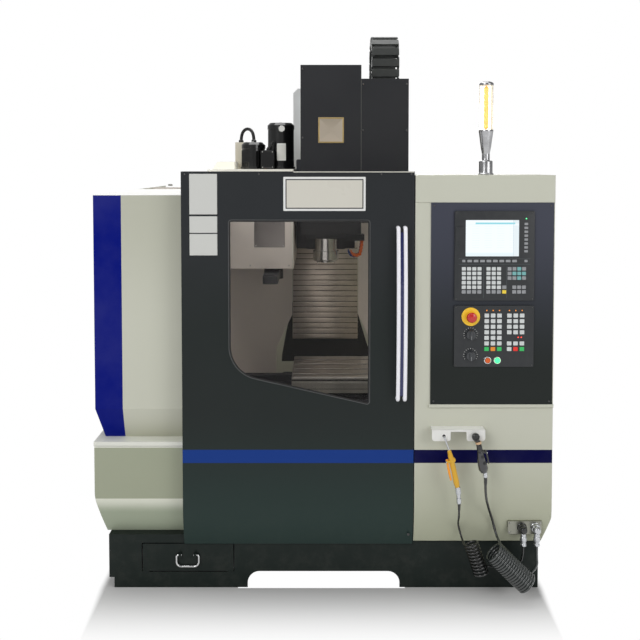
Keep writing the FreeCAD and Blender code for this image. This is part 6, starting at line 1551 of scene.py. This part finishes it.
class MakeHoseSockets(Build):
    """Sockets, silver hose couplings and screws of the coupling plate."""
    bl_idname = "machine.sockets"
    bl_label = "Hose sockets"

    def make(self):
        shapes = []
        for x, finish in ((780.0, 0), (832.0, 1)):
            collar = round_edges([(14.2, 26), (19, 26), (19, 22), (16.4, 20.5), (16.4, 6), (14.2, 5)], 0.6)
            shapes.append(lathe(collar, (x, -926.0, 262.0), (0, 1, 0), 40, finish))
            shapes.append(lathe(round_edges([(0, -14.6), (9, -14.6), (14.4, -8), (14.4, 6), (0, 6)], 3.0),
                                (x, -926.0, 262.0), (0, 1, 0), 40, finish))
            sleeve = round_edges([(8, 0), (11.4, 0), (11.4, 6), (10.2, 8), (10.2, 18), (12.6, 20),
                                  (12.6, 34), (11.0, 36), (11.0, 47), (8, 48)], 0.6)
            shapes.append(knurled(sleeve, (x, -926.0, 202.0), (0, 0, 1), 20, 1, rows=(14, 20)))
        build("hose_sockets", shapes, [glossy_black(), satin()], "machine")
        build("socket_screws", corner_screws(733, 851, 243, 279, -900.0, 3.4), [zinc_screw()], "machine")


class MakeDrivePieces(Build):
    """Ball screws, motor details, spindle keys, changer plate and cable glands."""
    bl_idname = "machine.drives"
    bl_label = "Drives"

    def make(self):
        for axis, start, end, diameter in (("x", (-398, -285, 618), (442, -285, 618), 25.0),
                                           ("y", (22, -700, 400), (22, 309.6, 400), 32.0),
                                           ("z", (22, 352, 800.4), (22, 352, 2080), 32.0)):
            build(axis + "_screw_thread", [thread(start, end, diameter)], [turned_steel()], axis + "_screw",
                  60, (axis + "_ballscrew",))
        badge = lathe(round_edges([(0, 0), (15.4, 0), (15.4, 4.2), (14.2, 5.2), (12.6, 5.2), (11.8, 4.4),
                                   (0, 4.4)], 0.4),
                      (-194.0, -9.4, 1851.0), FRONT[2], 40)
        label = bent_label(-198.0, 55.0, 65.2, 24.0, 1694.0, 1779.0)
        band = bent_label(-198.0, 55.0, 65.9, 20.0, 1700.0, 1773.0, 1, 0.3)
        white = painted("plate white", shade("f4f4f0"), 0.3, 1500.0, 0.00005)
        pale = painted("plate grey", shade("ecece6"), 0.35, 1500.0, 0.00005)
        build("motor_plates", [badge, label, band], [white, pale], "machine")
        gland = knurled(round_edges([(0, 0), (9, 0), (9, 14), (7, 16), (7, 24), (8.4, 25), (8.4, 36),
                                     (5, 38), (5, 52), (0, 52)], 0.6), (-262.0, -30.0, 1745.0),
                        (0.52, 0.28, 0.81), 6, 0, rows=(2, 8), depth=0.06)
        caps = [screw((x, y, z), 4.6, TOP, 1) for x, y, z in (
            (-243.0, 55.0, 1880.0), (-159.0, 55.0, 1880.0), (-201.0, 97.0, 1880.0), (-201.0, 13.0, 1880.0),
            (-373.0, 55.0, 1784.6), (-303.0, 55.0, 1784.6), (-338.0, 22.0, 1784.6))]
        lid = ring_plate((60, 86, 10), (52, 78, 8), (0, 0), 2.0, 0.8, 0.8, 0, (-262.0, -50.0, 1699.0))
        lid_screws = corner_screws(-286, -238, 1662, 1736, -52.0, 2.6, 1)
        nut = knurled(round_edges([(8.2, 0), (12.5, 0), (12.5, 10), (10, 13), (8.2, 13)], 0.6),
                      (-409.0, 150.0, 1788.0), (0, 0, 1), 6, 0, rows=(2, 6), depth=0.05)
        foot = knurled(round_edges([(8.2, 0), (12.5, 0), (12.5, 12), (10, 15), (8.2, 15)], 0.6),
                       (-338.0, 80.0, 1785.0), (0, 0, 1), 6, 0, rows=(2, 6), depth=0.05)
        build("motor_fittings", [gland, lid, nut, foot] + caps + lid_screws, [enamel(), zinc_screw()],
              "machine")
        plate = slab((-240.0, CHANGER_Y, 1357.0), 142, 134, 1.6, 3, 0.6)
        # The pale strip and line are painted highlights along the changer cover's edge.
        strip = slab((-132.6, CHANGER_Y, 1421.0), 6.0, 460, 1.0, 1.0, 0.4, finish=1)
        line = slab((-141.0, CHANGER_Y, 1421.0), 1.4, 460, 0.5, 0.5, 0.2, finish=1)
        build("changer_plate", [plate, strip, line],
              [metal("dull changer plate", shade("6e6a6a"), 0.3, (900.0, 900.0, 30.0), 0.2, "3a3636", 0.3),
               painted_highlight_edge()], "machine")
        build("changer_screws", corner_screws(-304, -176, 1297, 1417, CHANGER_Y - 1.5, 4.2) +
              [screw((x, CHANGER_Y, 1205.0), 3.6) for x in (-510.0, -330.0, -150.0)], [zinc_screw()],
              "machine")
        x, y = SPINDLE
        keys = [slab((x + side * 40.0, y, 1205.4), 7.5, 15.0, 5.0, 1.5, 0.5, DOWN) for side in (-1, 1)]
        nose = lathe(round_edges([(24, 0), (36, 0), (36, 1.6), (25, 2.4), (24, 0)], 0.4), (x, y, 1205.2),
                     (0, 0, -1), 48)
        build("spindle_keys", keys + [nose], [turned_steel()], "spindle")
        around = np.radians(45 * np.arange(8))
        bolts = [screw((x + 54 * math.cos(a), y + 54 * math.sin(a), 1216.4), 3.3, DOWN) for a in around]
        build("nose_bolts", bolts, [black_steel()], "head")


class MakeCabinetPieces(Build):
    """Rear louvres, lock and main switch, side louvres and fasteners, seams and lifting points."""
    bl_idname = "machine.cabinet_pieces"
    bl_label = "Cabinet pieces"

    def make(self):
        vents = [louvre((x, REAR_Y, z), 150, 14, 7, REAR) for x in (-380.0, 380.0)
                 for z in list(range(420, 640, 26)) + list(range(1330, 1500, 26))]
        build("rear_louvres", vents, [cream_paint()], "cabinet_door")
        latch = lathe(round_edges([(0, 0), (24, 0), (24, 4), (20, 7), (12, 8), (11, 12), (0, 12)], 1.0),
                      (-540.0, REAR_Y, 950.0), REAR[2], 40)
        bar = slab((-540.0, REAR_Y + 11.0, 950.0), 14, 44, 9.0, 5, 2.0, REAR, 1)
        switch = ring_plate((90, 90, 8), (70, 70, 6), (0, 0), 5.0, 1.5, 1.2, 2, (-300.0, REAR_Y, 1180.0),
                            REAR)
        knob = lathe(round_edges([(0, 3), (26, 3), (26, 12), (22, 15), (0, 15)], 1.5),
                     (-300.0, REAR_Y, 1180.0), REAR[2], 40, 3)
        grip = slab((-300.0, REAR_Y + 14.0, 1180.0), 14, 56, 12.0, 4, 2.0, REAR, 3)
        build("rear_door_fittings", [latch, bar, switch, knob, grip],
              [satin(), black_plastic(), plastic("switch yellow", shade("edc01c"), 0.35),
               plastic("switch red", shade("c9201a"), 0.3)], "cabinet_door")
        side_vents = [louvre((SIDE_X, y, z), 170, 14, 7, RIGHT) for y in (-300.0, 300.0)
                      for z in range(1240, 1480, 26)]
        side_vents += [louvre((-SIDE_X, 330.0, z), 170, 14, 7, LEFT) for z in range(1240, 1460, 26)]
        build("side_louvres", side_vents, [cream_paint()], "machine")
        fast = [screw((SIDE_X, y, z), 5.0, RIGHT) for y in (-560.0, -20.0, 240.0, 640.0)
                for z in (240.0, 900.0, 1570.0)]
        fast += [screw((-SIDE_X, y, z), 5.0, LEFT) for y in (30.0, 330.0, 640.0)
                 for z in (610.0, 1050.0, 1520.0)]
        build("side_fasteners", fast, [zinc_screw()], "machine")
        joins = [slab((SIDE_X, 110.0, 907.0), 1.6, 1380, 0.5, 0.6, 0.2, RIGHT),
                 slab((-SIDE_X, 180.0, 1067.0), 1.6, 970, 0.5, 0.6, 0.2, LEFT)]
        build("side_seams", joins, [seam_grey()], "machine")
        caps = [knurled(round_edges([(0, 0), (13, 0), (13, 8), (9, 10), (0, 10)], 0.6),
                        (x, y, z), (0, 0, 1), 6, 0, rows=(2, 6), depth=0.06)
                for x, y, z in ((-860.0, 620.0, 1554.0), (860.0, 620.0, 1600.0))]
        build("lifting_points", caps, [zinc_screw()], "machine")


class MakeSeams(Build):
    """Door handle bars, pale strips painted as highlights along the door's top and the plate's ledge, and
    the seam of the head cover.
    """
    bl_idname = "machine.seams"
    bl_label = "Seams and strips"

    def make(self):
        t = np.linspace(-1, 1, 41)
        low, high, end_y, crown_y = 769.5, 1431.5, FACE_Y - 27.5, FACE_Y - 47.5
        bow = np.stack([np.zeros(41), crown_y + (end_y - crown_y) * t ** 2, (low + high) / 2 +
                        (high - low) / 2 * t], -1)
        shapes = []
        for side in (-1, 1):
            line = bow + np.array([HANDLE_X + side * 13.5, 0, 0])
            foot = np.array([(line[0, 0], FACE_Y, low), (line[-1, 0], FACE_Y, high)])
            path = np.concatenate([foot[:1], line, foot[1:]])
            shapes.append(carried(round_edges(path, 7.0, 4), circle(7.5, 20)))
        strip = carried(bow[1:-1] + np.array([HANDLE_X, 0, 0]),
                        rounded_rectangle(15.0, 3.0, 1.0, 2)[:, ::-1], 1)
        # The bars are no lamps: their faint glow is painted light.
        build("door_handle_bars", shapes + [strip], [
            plastic("pearl bar", shade("f4f4fa"), 0.25, coat=0.5,
                    glow=0.12), plastic("navy strip", shade("101a55"), 0.25, coat=0.4)],
            "door", replaces=("door_handle",))
        # The pale strip on the door's top edge is a painted highlight.
        build("door_top_strip", [slab((124.0, FACE_Y, 1645.2), 464, 3.4, 0.8, 1.0, 0.3)],
              [painted_highlight_edge()], "door")
        # The ledge is written near white as a painted highlight on its lit top edge.
        build("plate_ledge", [slab((656.0, FACE_Y - 1.0, 744.6), 476, 5.6, 2.4, 1.0, 0.3)],
              [painted("painted highlight ledge", shade("fdfdfa"), 0.4)], "machine")
        seam = slab((187.0, COVER_Y, 1743.0), 1.6, 790, 0.6, 0.6, 0.2)
        build("head_cover_seam", [seam], [seam_grey()], "head")


# ---------------------------------------------------------------- floor, light and camera
CAMERA_PLACE = (-0.0057, -3.989, 1.670)
CAMERA_PITCH = 2.3
CAMERA_LENS = 45.39
SHIFT_Y = -0.1908
FOOTPRINT = (0.85, 0.86)    # half width and half depth of the base, metres
FRONT_EDGE = -0.70          # the floor behind this place, under the base, is bare
NOTCH_HALF = 0.33           # half width of the notch in the base, whose floor shows white
SIDE_FADE = 12.0            # the shadow fades this many times sooner beside the base than before it
FADE = (-0.02, 0.42)        # distances from the base over which the floor turns white, metres
FLOOR_HALF = 30.0
WORLD_LEVEL = 0.36
LAMPS = (
    # name, place, aim, width, height, watts
    ("key light", (-2.6, -4.6, 3.6), (0, -0.4, 1.0), 2.4, 2.4, 84),
    ("fill light", (3.2, -4.2, 2.4), (0, -0.4, 1.0), 2.4, 2.4, 47),
    ("top light", (0.0, 0.2, 4.6), (0, 0, 0.5), 3.0, 3.0, 92),
    ("rear light", (0.5, 4.5, 3.0), (0, 0, 1.0), 3.0, 2.0, 50),
)


def shown_white(name, base):
    """Pale floor that a ray from the camera, a mirror or glass sees as plain white away from the
    object, and that keeps the object's shadow near it. Beneath the object it is bare."""
    made, tree, shader = material(name)
    if tree is None:
        return made
    tree.nodes.remove(shader)
    path = put(tree, "ShaderNodeLightPath").outputs
    seen = maths(tree, "MAXIMUM", maths(tree, "MAXIMUM", path["Is Camera Ray"], path["Is Glossy Ray"]),
                 path["Is Transmission Ray"])
    matt = put(tree, "ShaderNodeBsdfDiffuse", Color=base)
    white = put(tree, "ShaderNodeEmission", Color=(1, 1, 1, 1), Strength=1.0)
    axes = put(tree, "ShaderNodeSeparateXYZ", Vector=place(tree)).outputs
    beside = maths(tree, "MAXIMUM",
                   maths(tree, "SUBTRACT", maths(tree, "ABSOLUTE", axes["X"]), FOOTPRINT[0]), 0.0)
    ahead = maths(tree, "MAXIMUM",
                  maths(tree, "SUBTRACT", maths(tree, "ABSOLUTE", axes["Y"]), FOOTPRINT[1]), 0.0)
    away = maths(tree, "ADD", maths(tree, "MULTIPLY", beside, SIDE_FADE), ahead)
    lit = between(tree, away, *FADE)
    inside = maths(tree, "LESS_THAN", away, 0.0001)
    under = maths(tree, "MULTIPLY", inside, maths(tree, "GREATER_THAN", axes["Y"], FRONT_EDGE))
    lit = maths(tree, "MULTIPLY", lit, maths(tree, "SUBTRACT", 1.0, under))
    notch = maths(tree, "MULTIPLY", inside, maths(tree, "LESS_THAN", axes["Y"], FRONT_EDGE))
    notch = maths(tree, "MULTIPLY", notch,
                  maths(tree, "LESS_THAN", maths(tree, "ABSOLUTE", axes["X"]), NOTCH_HALF))
    lit = maths(tree, "MAXIMUM", lit, notch)
    blend = put(tree, "ShaderNodeMixShader",
                at=[maths(tree, "MULTIPLY", seen, lit), matt.outputs[0], white.outputs[0]])
    tree.links.new(blend.outputs[0], tree.nodes["Material Output"].inputs["Surface"])
    return made


def softbox(name, place_at, aim, width, height, power):
    light = bpy.data.lights.new(name, "AREA")
    light.shape = "RECTANGLE"
    light.size = width
    light.size_y = height
    light.energy = power
    made = bpy.data.objects.new(name, light)
    bpy.context.scene.collection.objects.link(made)
    made.location = place_at
    direction = np.array(aim, float) - np.array(place_at, float)
    flat = math.hypot(direction[0], direction[1])
    made.rotation_euler = (math.atan2(flat, -direction[2]), 0,
                           math.atan2(direction[1], direction[0]) - math.pi / 2)
    return made


class MakeStage(Build):
    """Pale floor, soft studio light and the camera."""
    bl_idname = "machine.stage"
    bl_label = "Floor, light and camera"

    def make(self):
        corners = [(x * FLOOR_HALF, y * FLOOR_HALF, -MM) for x, y in ((-1, -1), (1, -1), (1, 1), (-1, 1))]
        mesh = bpy.data.meshes.new("floor")
        mesh.from_pydata(corners, [], [(0, 1, 2, 3)])
        mesh.materials.append(shown_white("studio floor", shade("d9d9d8")))
        floor = bpy.data.objects.new("floor", mesh)
        bpy.context.scene.collection.objects.link(floor)

        world = bpy.data.worlds.new("studio")
        bpy.context.scene.world = world
        world.use_nodes = True
        tree = world.node_tree
        path = put(tree, "ShaderNodeLightPath").outputs
        seen = maths(tree, "MAXIMUM", path["Is Camera Ray"], path["Is Transmission Ray"])
        level = maths(tree, "MULTIPLY_ADD", seen, 1 - WORLD_LEVEL, WORLD_LEVEL)
        tree.links.new(level, tree.nodes["Background"].inputs["Strength"])
        tree.nodes["Background"].inputs["Color"].default_value = (1, 1, 1, 1)

        for lamp in LAMPS:
            softbox(*lamp)

        camera = bpy.data.cameras.new("camera")
        camera.sensor_width = 36.0
        camera.lens = CAMERA_LENS
        camera.shift_y = SHIFT_Y
        camera.clip_end = 100.0
        made = bpy.data.objects.new("camera", camera)
        bpy.context.scene.collection.objects.link(made)
        made.location = CAMERA_PLACE
        made.rotation_euler = (math.radians(90 - CAMERA_PITCH), 0, 0)
        bpy.context.scene.camera = made
        bpy.context.scene.view_settings.view_transform = "Standard"


class MachinePanel(bpy.types.Panel):
    """Lists the operators and the sizes and colours in the sidebar."""
    bl_idname = "VIEW3D_PT_machining_center"
    bl_label = "Machining center"
    bl_space_type = "VIEW_3D"
    bl_region_type = "UI"
    bl_category = "Machining center"

    def draw(self, context):
        for group_name in ("machine_paint", "machine_sizes"):
            values = getattr(context.scene, group_name)
            for name in values.bl_rna.properties.keys():
                if name not in ("rna_type", "name"):
                    self.layout.prop(values, name)
        for operator in OPERATORS:
            self.layout.operator(operator.bl_idname)


OPERATORS = list(Build.__subclasses__())
CLASSES = [MachinePaint, MachineSizes] + OPERATORS + [MachinePanel]


def register():
    for item in CLASSES:
        bpy.utils.register_class(item)
    bpy.types.Scene.machine_paint = PointerProperty(type=MachinePaint)
    bpy.types.Scene.machine_sizes = PointerProperty(type=MachineSizes)


def unregister():
    del bpy.types.Scene.machine_sizes
    del bpy.types.Scene.machine_paint
    for item in reversed(CLASSES):
        bpy.utils.unregister_class(item)


def main():
    register()
    for operator in OPERATORS:
        family, name = operator.bl_idname.split(".")
        getattr(getattr(bpy.ops, family), name)()


if __name__ == "__main__":
    main()
